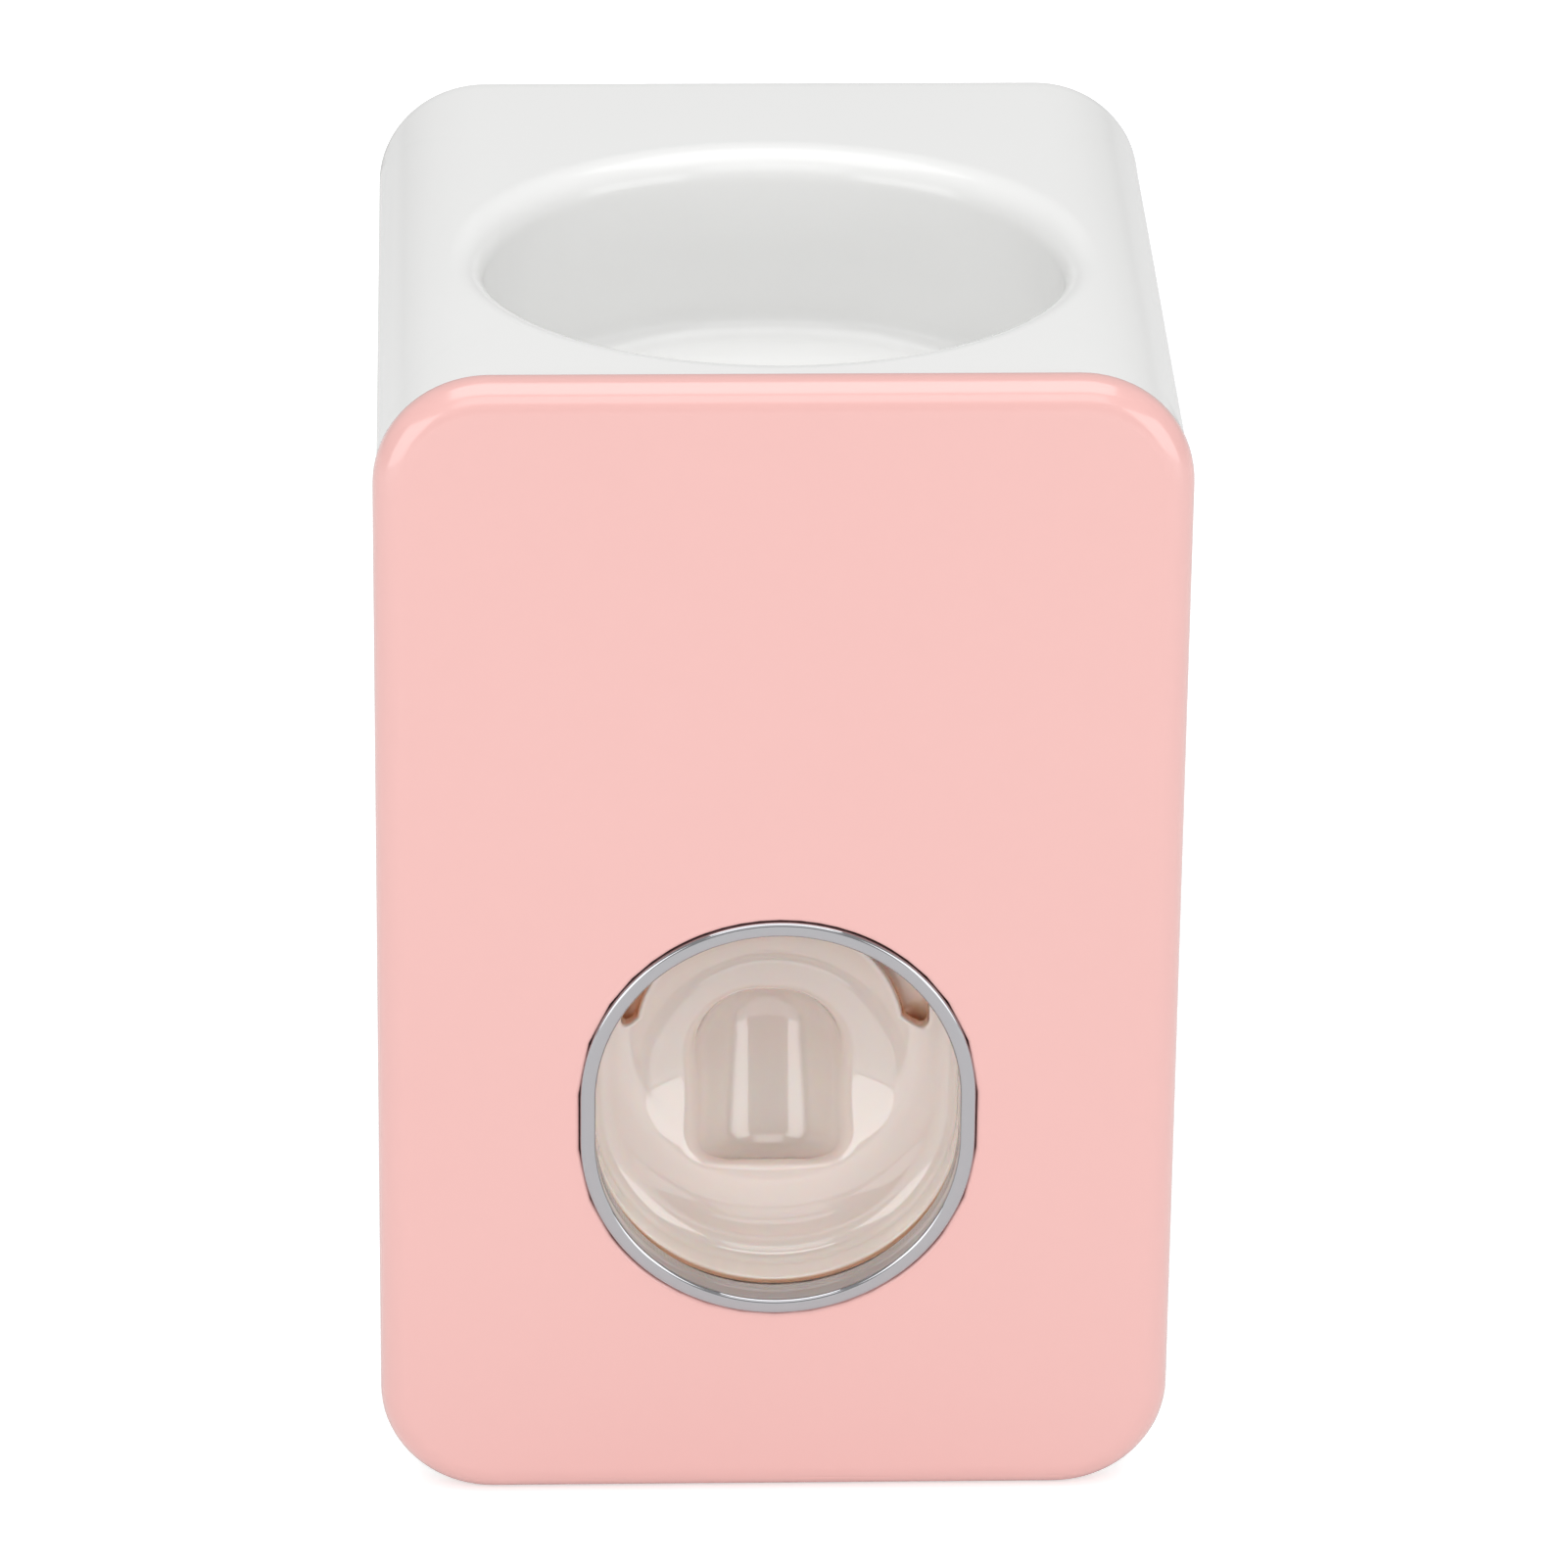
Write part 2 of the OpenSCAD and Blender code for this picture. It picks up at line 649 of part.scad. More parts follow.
// Pump head: inlet and outlet chambers over one passage, with two spigots on top
module pump_head() {
    color(white) difference() {
        union() {
            slab(y_head, y_head + head_t) translate([0, pump_z - head_down])
                rounded_outline(head_w, head_up + head_down, head_r);
            rod(y_rear, y_head + 1, mouth_r, 0, pump_z);
            for (x = [-port_x, port_x]) translate([x, y_port, z_head_top - 0.5])
                cylinder(h = port_l + 0.5, r = spigot_r);
        }
        rod(y_rear - 1, y_port, pipe_r, 0, pump_z);
        translate([-port_x - 1, y_port, pump_z]) rotate([0, 90, 0])
            cylinder(h = 2 * port_x + 2, r = spigot_bore_r);
        for (x = [-port_x, port_x]) translate([x, y_port, 0]) {
            translate([0, 0, pump_z]) cylinder(h = head_up + port_l + 1, r = spigot_bore_r);
            translate([0, 0, z_chamber]) cylinder(h = chamber_h, r = chamber_r);
        }
        head_screw_places() rod(y_rear, y_head + head_t + 1, screw_d / 2 + seat);
        head_screw_places()
            rod(y_head + head_t - head_h - seat, y_head + head_t + 1, head_d / 2 + seat);
    }
}

// Flat gasket between the frame and the pump head
module head_gasket() {
    color(clear_grey) difference() {
        slab(y_rear + rear_t, y_head) translate([0, pump_z - head_down + gap])
            rounded_outline(head_w - 2 * gap, head_up + head_down - 2 * gap, head_r - gap);
        rod(y_rear, y_head + 1, mouth_r + seat, 0, pump_z);
        head_screw_places() rod(y_rear, y_head + 1, screw_d / 2 + seat);
    }
}

// Mushroom valve that sits in a chamber of the pump head
module valve(x, up) {
    color(clear_grey) translate([x, y_port, z_chamber + (up ? 0 : chamber_h - valve_t)]) {
        cylinder(h = valve_t, r = valve_r);
        translate([0, 0, valve_t / 2 - (up ? 0 : 2 * valve_t)]) cylinder(h = 2 * valve_t, r = stem_r);
    }
}

module inlet_valve() {
    valve(-port_x, false);
}

module outlet_valve() {
    valve(port_x, true);
}

// Ring that clamps the collar of the bellows to the frame
module bellows_clamp() {
    color(white) difference() {
        rod(y_rear - gap - collar_t - clamp_lip, y_rear, collar_r + clamp_wall, 0, pump_z);
        rod(y_rear - gap - collar_t - clamp_lip - 1, y_rear + 1, bellows_r + gap, 0, pump_z);
        rod(y_rear - gap - collar_t - seat, y_rear + 1, collar_r + seat, 0, pump_z);
    }
}

// Silicone bellows, folded along its length, with a collar at the pump head
module pump_bellows() {
    root_r = bellows_r - bellows_fold;
    fold_l = (bellows_l - collar_t) / folds;
    outside = [for (k = [0:folds - 1]) each
        [[root_r, k * fold_l], [bellows_r, (k + 0.5) * fold_l - fold_edge],
            [bellows_r, (k + 0.5) * fold_l + fold_edge]]];
    inside = [for (k = [folds - 1:-1:0]) each
        [[bellows_r - bellows_wall - fold_edge, (k + 0.5) * fold_l],
            [root_r - bellows_wall, max(k * fold_l, bellows_wall)]]];
    color(clear_grey) translate([0, y_bellows, pump_z]) rotate([-90, 0, 0]) rotate_extrude()
        polygon(concat([[0, 0]], outside, [[root_r, bellows_l - collar_t],
            [collar_r, bellows_l - collar_t], [collar_r, bellows_l],
            [root_r - bellows_wall, bellows_l]], inside, [[0, bellows_wall]]));
}

// Return spring: one wire wound by a formula, with straight ends along its axis
steps = 8;
coil_r = (spring_d - wire_d) / 2;
spring_free = spring_l - 2 * gap;
dead = wire_d;
function coil_point(t) = [coil_r * cos(360 * t), dead + wire_d / 2
    + (spring_free - 2 * dead - wire_d) * t / curls, coil_r * sin(360 * t)];
coil_points = [for (i = [0:curls * steps]) coil_point(i / steps)];
spring_path = concat([coil_points[0] - [0, wire_d, 0]], coil_points,
    [coil_points[curls * steps] + [0, wire_d, 0]]);

function unit(v) = v / norm(v);
function tangent_at(path, i) = i == 0 ? unit(path[1] - path[0])
    : i == len(path) - 1 ? unit(path[i] - path[i - 1])
    : unit(unit(path[i + 1] - path[i]) + unit(path[i] - path[i - 1]));
// Ring of six points across the path, with one point facing away from the axis
function wire_ring(path, i) = let (
    t = tangent_at(path, i),
    out = unit([path[i][0], 0, path[i][2]]),
    side = unit(cross(t, out)),
    up = cross(side, t))
    [for (k = [0:5]) path[i] + wire_d / 2 * (cos(60 * k) * up + sin(60 * k) * side)];

// Least gap of the wire to itself, between points half a curl or more apart
spring_gap = min([for (i = [0:len(coil_points) - 1], j = [i + steps / 2:1:len(coil_points) - 1])
    norm(coil_points[i] - coil_points[j])]) - wire_d;

module return_spring() {
    echo(spring_least_gap = spring_gap);
    n = len(spring_path);
    points = [for (i = [0:n - 1]) each wire_ring(spring_path, i)];
    sides = [for (i = [0:n - 2], k = [0:5]) each
        let (a = i * 6 + k, b = i * 6 + (k + 1) % 6) [[a, b, a + 6], [b, b + 6, a + 6]]];
    start_face = [for (k = [1:4]) [0, k + 1, k]];
    end_face = [for (k = [1:4]) [(n - 1) * 6, (n - 1) * 6 + k, (n - 1) * 6 + k + 1]];
    color(steel) translate([0, y_disc + disc_t + gap, pump_z])
        polyhedron(points, concat(start_face, end_face, sides), convexity = 6);
}

// Two steel pins in the frame's ears that carry the lever's arms
module hinge_pins() {
    color(steel) for (s = [0, 1]) mirror([s, 0, 0])
        translate([lever_r - arm_t, pivot_y, pivot_z]) rotate([0, 90, 0])
            cylinder(h = cheek_x + cheek_t - lever_r + arm_t, r = pin_d / 2);
}

// Outline of the lever's face: a half circle below, straight sides and a flat top
module lever_outline(r) {
    intersection() {
        union() {
            translate([0, z_low]) circle(r);
            translate([-r, z_low]) square([2 * r, z_plate_top - z_low]);
        }
        translate([-r, z_low - r]) square([2 * r, z_plate_top - z_low + r]);
    }
}

// Profile of the dish in the lever's face, as distance from the spine and depth
module dish_profile(r) {
    translate([0, y_lip - 1]) square([r - lip_land - dish, y_plate - y_lip + 1]);
    intersection() {
        translate([r - lip_land - dish, y_lip]) circle(dish);
        translate([0, y_lip - 1]) square([r, dish + 1]);
    }
    translate([0, y_lip - 1]) square([r - lip_land, 1]);
}

// Hollow in front of the lever's face, rounded into the rim at the sides and below
module dish_cutter() {
    translate([0, 0, z_low]) rotate([90, 0, 0]) mirror([0, 0, 1]) rotate([0, 0, 180])
        rotate_extrude(angle = 180) dish_profile(lever_r);
    for (s = [0, 1]) translate([0, 0, z_low]) mirror([s, 0, 0])
        linear_extrude(z_plate_top - z_low + 1) dish_profile(lever_r);
}

// Niche for the brush head: an upright half pipe with a round top
module niche(extra) {
    translate([0, niche_y, niche_floor - extra])
        cylinder(h = niche_top - niche_floor + extra, r1 = niche_r + niche_taper + extra,
            r2 = niche_r + extra);
    translate([0, niche_y, niche_top]) sphere(niche_r + extra);
}

// Bowl with its upper part cut back to a leaning rim
module bowl_shell() {
    difference() {
        union() {
            translate([0, bowl_y, bowl_z]) sphere(bowl_r + lever_wall);
            niche(lever_wall);
        }
        translate([-body_w / 2, y_plate - body_w + lip_land, 0]) cube([body_w, body_w, body_h]);
        translate([-body_w / 2, y_plate + scoop_back, z_plate_top]) rotate([-scoop_lean, 0, 0])
            translate([0, -body_w, 0]) cube([body_w, body_w, body_w]);
        translate([-body_w / 2, y_plate - body_w, z_plate_top])
            cube([body_w, body_w + scoop_back, body_w]);
    }
}

// Collar behind the bowl's rim that joins the two arms
module bowl_collar() {
    translate([0, 0, z_plate_top - collar_down]) linear_extrude(collar_up + collar_down) difference() {
        translate([-lever_r, y_plate]) square([lever_w, collar_depth + lever_wall]);
        translate([-lever_r + lever_wall, y_plate - 1])
            square([lever_w - 2 * lever_wall, collar_depth + 1]);
    }
}

// Cream lever: dished face, bowl with the niche, two arms with eyes and a nub for the plunger
module push_lever() {
    arm_y = pivot_y - arm_d / 2;
    color(cream) difference() {
        union() {
            slab(y_lip, y_plate_back) lever_outline(lever_r);
            bowl_shell();
            bowl_collar();
            for (s = [0, 1]) mirror([s, 0, 0]) translate([lever_r - arm_t, 0, 0]) {
                translate([0, arm_y, z_plate_top - arm_t])
                    cube([arm_t, arm_d, pivot_z - z_plate_top + arm_t]);
                translate([0, pivot_y, pivot_z]) rotate([0, 90, 0])
                    cylinder(h = arm_t, r = eye_r);
            }
            rod(niche_y + niche_r, y_nub, nub_r, 0, nub_z);
            translate([0, y_nub, nub_z]) sphere(nub_r);
        }
        dish_cutter();
        translate([0, bowl_y, bowl_z]) sphere(bowl_r);
        niche(0);
        translate([-lever_r - 1, pivot_y, pivot_z]) rotate([0, 90, 0])
            cylinder(h = lever_w + 2, r = pin_d / 2 + run);
    }
}

// Plunger: a disc that the lever's nub pushes, on a rod through the guide
module plunger() {
    color(clear_grey) {
        rod(y_disc, y_disc + disc_t, disc_r, 0, pump_z);
        rod(y_disc + disc_t - 0.5, y_piston + piston_t, rod_r, 0, pump_z);
    }
}

// Disc on the end of the plunger's rod that presses the bellows
module bellows_plate() {
    color(clear_grey) difference() {
        rod(y_piston, y_piston + piston_t, bellows_r - 1, 0, pump_z);
        rod(y_piston - 1, y_piston + piston_t + 1, rod_r + tight, 0, pump_z);
    }
}

// Screw that enters from behind, with its head's seat at y0
module screw(y0, length, head) {
    rod(y0 - length, y0 + head / 2, screw_d / 2);
    rod(y0, y0 + head, head_d / 2);
}

module frame_screws() {
    color(steel) frame_boss_places() screw(y_tab + tab_t, screw_l, head_h);
}

module head_screws() {
    color(steel) head_screw_places()
        screw(y_head + head_t - head_h - seat, head_t - head_h + rear_t, head_h);
}

module back_screws() {
    color(steel) back_boss_places() screw(y_back - recess, screw_l, recess - seat);
}

main_body();
front_plate();
front_cover();
window_ring();
back_cover();
tube_socket();
tube_seal();
feed_pipe();
outlet_pipe();
nozzle();
pump_frame();
guide_bush();
pump_head();
head_gasket();
inlet_valve();
outlet_valve();
bellows_clamp();
pump_bellows();
return_spring();
hinge_pins();
push_lever();
plunger();
bellows_plate();
frame_screws();
head_screws();
back_screws();
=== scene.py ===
"""Toothpaste dispenser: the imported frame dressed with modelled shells, materials, light and camera."""
import json
import math

import bmesh
import bpy
import numpy as np
from mathutils import Matrix, Vector


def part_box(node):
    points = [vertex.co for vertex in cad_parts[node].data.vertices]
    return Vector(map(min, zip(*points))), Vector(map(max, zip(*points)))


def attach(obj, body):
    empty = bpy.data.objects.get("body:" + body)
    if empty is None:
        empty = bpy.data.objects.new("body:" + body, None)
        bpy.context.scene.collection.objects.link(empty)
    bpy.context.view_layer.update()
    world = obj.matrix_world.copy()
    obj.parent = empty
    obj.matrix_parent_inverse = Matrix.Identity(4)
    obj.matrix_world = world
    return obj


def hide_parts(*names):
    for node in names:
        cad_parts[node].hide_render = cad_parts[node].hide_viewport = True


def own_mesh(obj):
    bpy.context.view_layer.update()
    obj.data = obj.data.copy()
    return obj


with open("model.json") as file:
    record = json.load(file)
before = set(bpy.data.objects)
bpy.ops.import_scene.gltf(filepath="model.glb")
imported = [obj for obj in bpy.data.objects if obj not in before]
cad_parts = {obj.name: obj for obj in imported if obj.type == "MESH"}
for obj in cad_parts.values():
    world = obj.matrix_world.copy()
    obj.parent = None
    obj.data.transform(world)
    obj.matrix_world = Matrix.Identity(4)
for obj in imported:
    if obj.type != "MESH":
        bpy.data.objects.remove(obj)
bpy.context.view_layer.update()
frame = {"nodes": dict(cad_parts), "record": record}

MM = 0.001


def box_mm(node):
    """Low and high corner of a CAD piece, in millimetres."""
    return [np.array(corner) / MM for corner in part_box(node)]


# Sizes in millimetres, the overall ones from the frame
cover_low, cover_high = box_mm("front_cover")
body_low, body_high = box_mm("main_body")
ring_low, ring_high = box_mm("window_ring")
lever_low, lever_high = box_mm("push_lever")
socket_low, socket_high = box_mm("tube_socket")
screws_low, screws_high = box_mm("back_screws")
PLAY = 0.1  # round the ring and the tube's socket

# Housing
BODY_W = body_high[0] - body_low[0]
BODY_H = body_high[2]
BODY_R = 9.1
BACK_EDGE_R = 0.5
BACK_SEAM = 0.02
WALL = 1.8
HALF_FLAT = BODY_W / 2 - BODY_R
ARC_LENGTH = BODY_R * math.pi / 2
FRONT_WALL_OVERLAP = 0.1
FRONT_WALL_SET_BACK = 0.02

# Front cover
COVER_W = cover_high[0] - cover_low[0]
COVER_H = cover_high[2]
COVER_T = 3.0
COVER_R = BODY_R + (COVER_W - BODY_W) / 2
COVER_EDGE_R = 2.4
COVER_BEVEL = 0.15
COVER_BEVEL_MIDDLE = 0.04
Y_COVER = cover_low[1]
Y_BODY = Y_COVER + COVER_T
Y_BACK = body_high[1]

# Narrow strips beside a rounded edge, which keep the shading of the large face flat
FACE_STRIP = 0.12
SIDE_STRIP = 0.1

# Window and ring: round ends about a short upright spine
WINDOW_Z = (ring_low[2] + ring_high[2]) / 2
SPINE = 3.8
HOLE_EDGE_R = 0.35
RING_R = 16.35
RING_SEAT_R = RING_R + PLAY
RING_IN_R = 15.05
RING_EDGE_R = 0.36
RING_STRIP = 0.05
RING_FLARE = 0.9
RING_FLARE_FROM = 2.7
OPENING_R = 16.2
FLANGE_R = (ring_high[0] - ring_low[0]) / 2
FLANGE_T = 0.7

# Well in the top
WELL_A = 24.0
WELL_B = 21.4
WELL_Y = (socket_low[1] + socket_high[1]) / 2
WELL_DEPTH = 16.3
WELL_RIM_R = 2.7
WELL_FLOOR_R = 2.0
WELL_FLOOR_STRIP = 0.15
SOCKET_R = 10.6
Z_FLOOR = BODY_H - WELL_DEPTH

# Lever: its face, seen from the front a half circle below straight sides
LEVER_R = (lever_high[0] - lever_low[0]) / 2
Z_LOW = WINDOW_Z - SPINE / 2
Y_LIP = lever_low[1]
LIP_GROW = 0.5
LIP_R = 1.1
LIP_LAND = 0.4
DISH = 4.1
DISH_R = 1.8
PLATE_T = 1.6
Y_PLATE = Y_LIP + DISH

# Lever: its bowl, part of a sphere with its rim in one plane
BOWL_X = -0.4
BOWL_Z = 38.3
BOWL_DEPTH = 4.7
BOWL_WALL = 1.2
BOWL_RIM_IN_R = 11.8
BOWL_RIM_T = 0.4
BOWL_TOP = BOWL_Z + 10.3
Y_RIM = Y_PLATE + LIP_LAND
BOWL_R = (BOWL_RIM_IN_R ** 2 + BOWL_DEPTH ** 2) / (2 * BOWL_DEPTH)
BOWL_Y = Y_RIM + BOWL_DEPTH - BOWL_R
Z_PLATE_TOP = BOWL_Z + 1.5
FREE_RIM_SLIM = 0.9
FREE_RIM_BACK = 0.7
FREE_RIM_FADE = 0.6

# Lever: its niche for the brush head, a leaning half pipe with a dome and a sloping floor
NICHE_R = 6.65
NICHE_DEPTH = 7.8
NICHE_Y = Y_PLATE + NICHE_DEPTH - NICHE_R
NICHE_MIDDLE = BOWL_Z - 4.3
NICHE_FLOOR = BOWL_Z - 10.9
NICHE_TOP = BOWL_Z + 2.5
NICHE_DOME_R = 5.6
NICHE_FLOOR_R = 2.4
NICHE_LEAN = math.radians(24)
NICHE_SLOPE = math.radians(28)

# Lever: the collar behind the bowl, the arms with their eyes, and the nub that works the plunger
WEB_Y = -22.4
WEB_INSET = 0.5
COLLAR_LOW = Z_PLATE_TOP - 4.0
COLLAR_HIGH = Z_PLATE_TOP + 6.7
ARM_T = 2.8
ARM_D = 4.4
ARM_ROOT = 2.0
PIVOT_Y = Y_PLATE + 1.0
PIVOT_Z = 60.0
EYE_R = 3.15
PIN_BORE_R = 1.3
NUB_R = 3.0
NUB_L = 6.2
NUB_Y = Y_PLATE + 13.4
NUB_Z = 35.0

# Roundings where the lever's forms meet
JOIN_R = 0.8
CREASE_R = 0.3
CUT_R = 0.9
OUTER_R = 1.0
NUB_JOIN_R = 0.5
SHELL_R = 0.6
SHELL_EDGE_R = 0.5
SHELL_TOP_R = 0.4

# Screws of the back cover
HEAD_R = 2.5
HEAD_T = 1.4
HEAD_PROFILE = [(0.05, HEAD_T), (0, HEAD_T - 0.05), (0, 0.35), (0.05, 0.2), (0.16, 0.08), (0.35, 0)]
SHANK_R = 1.25
TIP_R = 0.75
TIP_L = 0.5
CROSS_ARM = 1.3
CROSS_HALF_W = 0.42
CROSS_PROFILE = [(0.05, 0), (0, 0.06), (-0.12, 0.8)]
CROSS_DEPTH = 0.9


# Mesh helpers

def add_mesh(name, points, faces, smooth=True):
    """A mesh object from points in millimetres."""
    mesh = bpy.data.meshes.new(name)
    mesh.from_pydata([tuple(float(c) * MM for c in p) for p in points], [], faces)
    mesh.validate()
    mesh.update()
    for polygon in mesh.polygons:
        polygon.use_smooth = smooth
    obj = bpy.data.objects.new(name, mesh)
    bpy.context.scene.collection.objects.link(obj)
    return obj


def clean(obj, merge=0.0001):
    """Merges points nearer than a distance in millimetres and turns the faces outwards."""
    bm = bmesh.new()
    bm.from_mesh(obj.data)
    bmesh.ops.remove_doubles(bm, verts=bm.verts, dist=merge * MM)
    bmesh.ops.recalc_face_normals(bm, faces=bm.faces)
    bm.to_mesh(obj.data)
    bm.free()


def ring_faces(rows, count, start=0, closed=True):
    """Quads between neighbouring rings of count points each."""
    faces = []
    for k in range(rows - 1):
        for i in range(count if closed else count - 1):
            a = start + k * count + i
            b = start + k * count + (i + 1) % count
            faces.append((a, b, b + count, a + count))
    return faces


def add_rings(name, rows, smooth=True):
    """A closed piece from rings of equal count, the last of them joined to the first."""
    count = len(rows[0])
    last = (len(rows) - 1) * count
    points = [p for row in rows for p in row]
    faces = ring_faces(len(rows), count)
    faces += [(last + i, last + (i + 1) % count, (i + 1) % count, i) for i in range(count)]
    obj = add_mesh(name, points, faces, smooth)
    clean(obj)
    return obj


def quarter(steps):
    """Angles of a quarter turn."""
    return [math.radians(90 * i / steps) for i in range(steps + 1)]


def at_depth(outline, y):
    """An outline of (x, z) as points at one depth."""
    return [(x, y, z) for x, z in outline]


def rounded_rect(width, height, radius, inset=0.0):
    """Points of an upright rectangle that stands on z = 0, anticlockwise seen from the front."""
    arc, side = 20, 8
    r = radius - inset
    cx, low, high = width / 2 - radius, radius, height - radius
    centres = [(cx, high, 0), (-cx, high, 90), (-cx, low, 180), (cx, low, 270)]
    points = []
    for n, (x, z, turn) in enumerate(centres):
        turns = [math.radians(turn + 90 * i / arc) for i in range(arc + 1)]
        points += [(x + r * math.cos(t), z + r * math.sin(t)) for t in turns]
        next_x, next_z, next_turn = centres[(n + 1) % 4]
        start, t = points[-1], math.radians(next_turn)
        end = (next_x + r * math.cos(t), next_z + r * math.sin(t))
        points += [(start[0] + (end[0] - start[0]) * i / side,
                    start[1] + (end[1] - start[1]) * i / side) for i in range(1, side)]
    return points


def obround(radius, angles):
    """Points round the window at a distance from its spine, in given directions from its centre."""
    half = SPINE / 2
    points = []
    for a in angles:
        c, s = math.cos(a), math.sin(a)
        if abs(s) * radius <= half * abs(c):
            reach = radius / abs(c)
        else:
            side = math.copysign(half, s)
            reach = side * s + math.sqrt(radius ** 2 - (side * c) ** 2)
        points.append((reach * c, WINDOW_Z + reach * s))
    return points


def obround_even(radius):
    """Points round the window whose directions from the spine's ends stay fixed as radius grows."""
    arc, straight = 124, 4
    points = []
    for side in (1, -1):
        turns = [math.pi * i / arc for i in range(arc + 1)]
        points += [(side * radius * math.cos(t), WINDOW_Z + side * (SPINE / 2 + radius * math.sin(t)))
                   for t in turns]
        points += [(-side * radius, WINDOW_Z + side * SPINE * (0.5 - i / straight))
                   for i in range(1, straight)]
    return points


# Front cover

def make_cover():
    """The pink panel, from its back edge over its round front edge to the hole for the ring."""
    outline = rounded_rect(COVER_W, COVER_H, COVER_R)
    angles = [math.atan2(z - WINDOW_Z, x) for x, z in outline]

    def border(inset, y):
        return at_depth(rounded_rect(COVER_W, COVER_H, COVER_R, inset), y)

    def hole(grow, y):
        return at_depth(obround(RING_SEAT_R + grow, angles), y)

    rows = [border(COVER_BEVEL, Y_BODY),
            border(COVER_BEVEL_MIDDLE, Y_BODY - COVER_BEVEL_MIDDLE),
            border(0, Y_BODY - COVER_BEVEL),
            border(0, Y_COVER + COVER_EDGE_R + SIDE_STRIP)]
    rows += [border(COVER_EDGE_R * (1 - math.cos(t)), Y_COVER + COVER_EDGE_R * (1 - math.sin(t)))
             for t in quarter(10)]
    rows += [border(COVER_EDGE_R + FACE_STRIP, Y_COVER), hole(HOLE_EDGE_R + FACE_STRIP, Y_COVER)]
    rows += [hole(HOLE_EDGE_R * (1 - math.sin(t)), Y_COVER + HOLE_EDGE_R * (1 - math.cos(t)))
             for t in quarter(6)]
    rows += [hole(0, Y_COVER + HOLE_EDGE_R + FACE_STRIP), hole(0, Y_BODY)]
    return add_rings("front_cover_shell", rows)


# Housing

def top_point(s, y, drop=0.0):
    """A point on the housing's top, where s runs across it and down its round corners."""
    over = abs(s) - HALF_FLAT
    if over <= 0:
        return (s, y, BODY_H - drop)
    t = over / BODY_R
    x = math.copysign(HALF_FLAT + BODY_R * math.sin(t), s)
    return (x, y, BODY_H - BODY_R * (1 - math.cos(t)) - drop)


def top_s(x):
    """How far across the top, and down its round corner, a point at x lies."""
    over = abs(x) - HALF_FLAT
    if over <= 0:
        return x
    return math.copysign(HALF_FLAT + BODY_R * math.asin(min(over / BODY_R, 1)), x)


def well_rows(angles):
    """Rings from the socket's hole over the well's floor and up its wall to the round rim."""
    def circle(r):
        return [(r * math.cos(a), WELL_Y + r * math.sin(a), Z_FLOOR) for a in angles]

    def oval(grow, z):
        return [((WELL_A + grow) * math.cos(a), WELL_Y + (WELL_B + grow) * math.sin(a), z) for a in angles]

    def rim(grow, drop):
        return [top_point(top_s(x), y, drop) for x, y, _ in oval(grow, 0)]

    hole_r = SOCKET_R + PLAY
    rows = [circle(hole_r), circle(hole_r + SIDE_STRIP), oval(-WELL_FLOOR_R - WELL_FLOOR_STRIP, Z_FLOOR)]
    rows += [oval(WELL_FLOOR_R * (math.sin(t) - 1), Z_FLOOR + WELL_FLOOR_R * (1 - math.cos(t)))
             for t in quarter(8)]
    low, high = Z_FLOOR + WELL_FLOOR_R, BODY_H - WELL_RIM_R
    rows += [oval(0, low + (high - low) * share) for share in (0.02, 0.5, 0.98)]
    rows += [rim(WELL_RIM_R * (1 - math.cos(t)), WELL_RIM_R * (1 - math.sin(t))) for t in quarter(12)]
    return rows


def top_rows(angles, border):
    """Rings over the top and its round corners, from the well's rim out to the border."""
    start = [(top_s((WELL_A + WELL_RIM_R) * math.cos(a)), WELL_Y + (WELL_B + WELL_RIM_R) * math.sin(a))
             for a in angles]
    return [[top_point(p[0] + (q[0] - p[0]) * share, p[1] + (q[1] - p[1]) * share)
             for p, q in zip(start, border)]
            for share in [0.02, 0.06, 0.12] + list(np.linspace(0.2, 1.0, 14))]


def side_profile():
    """Points (x, z) from the top of the right side down, along the foot and up the left side."""
    turns = np.radians(np.linspace(0, 90, 21)[1:])
    heights = np.linspace(BODY_H - BODY_R, BODY_R, 12)
    profile = [(BODY_W / 2, z) for z in heights]
    profile += [(HALF_FLAT + BODY_R * math.cos(t), BODY_R - BODY_R * math.sin(t)) for t in turns]
    profile += [(x, 0) for x in np.linspace(HALF_FLAT, -HALF_FLAT, 13)[1:]]
    profile += [(-HALF_FLAT - BODY_R * math.sin(t), BODY_R - BODY_R * math.cos(t)) for t in turns]
    profile += [(-BODY_W / 2, z) for z in heights[-2::-1]]
    return profile


def inwards(loop, inset, y):
    """The housing's outline moved inwards by a distance, at another depth."""
    row = []
    for x, _, z in loop:
        core_x = min(max(x, -HALF_FLAT), HALF_FLAT)
        core_z = min(max(z, BODY_R), BODY_H - BODY_R)
        out = Vector((x - core_x, z - core_z)).normalized()
        row.append((x - out.x * inset, y, z - out.y * inset))
    return row


def back_rows(loop):
    """Rings over the rounded back edge and in to the back cover."""
    rows = [inwards(loop, BACK_EDGE_R * (1 - math.cos(t)), Y_BACK - BACK_EDGE_R * (1 - math.sin(t)))
            for t in quarter(5)]
    return rows + [inwards(loop, WALL - BACK_SEAM, Y_BACK)]


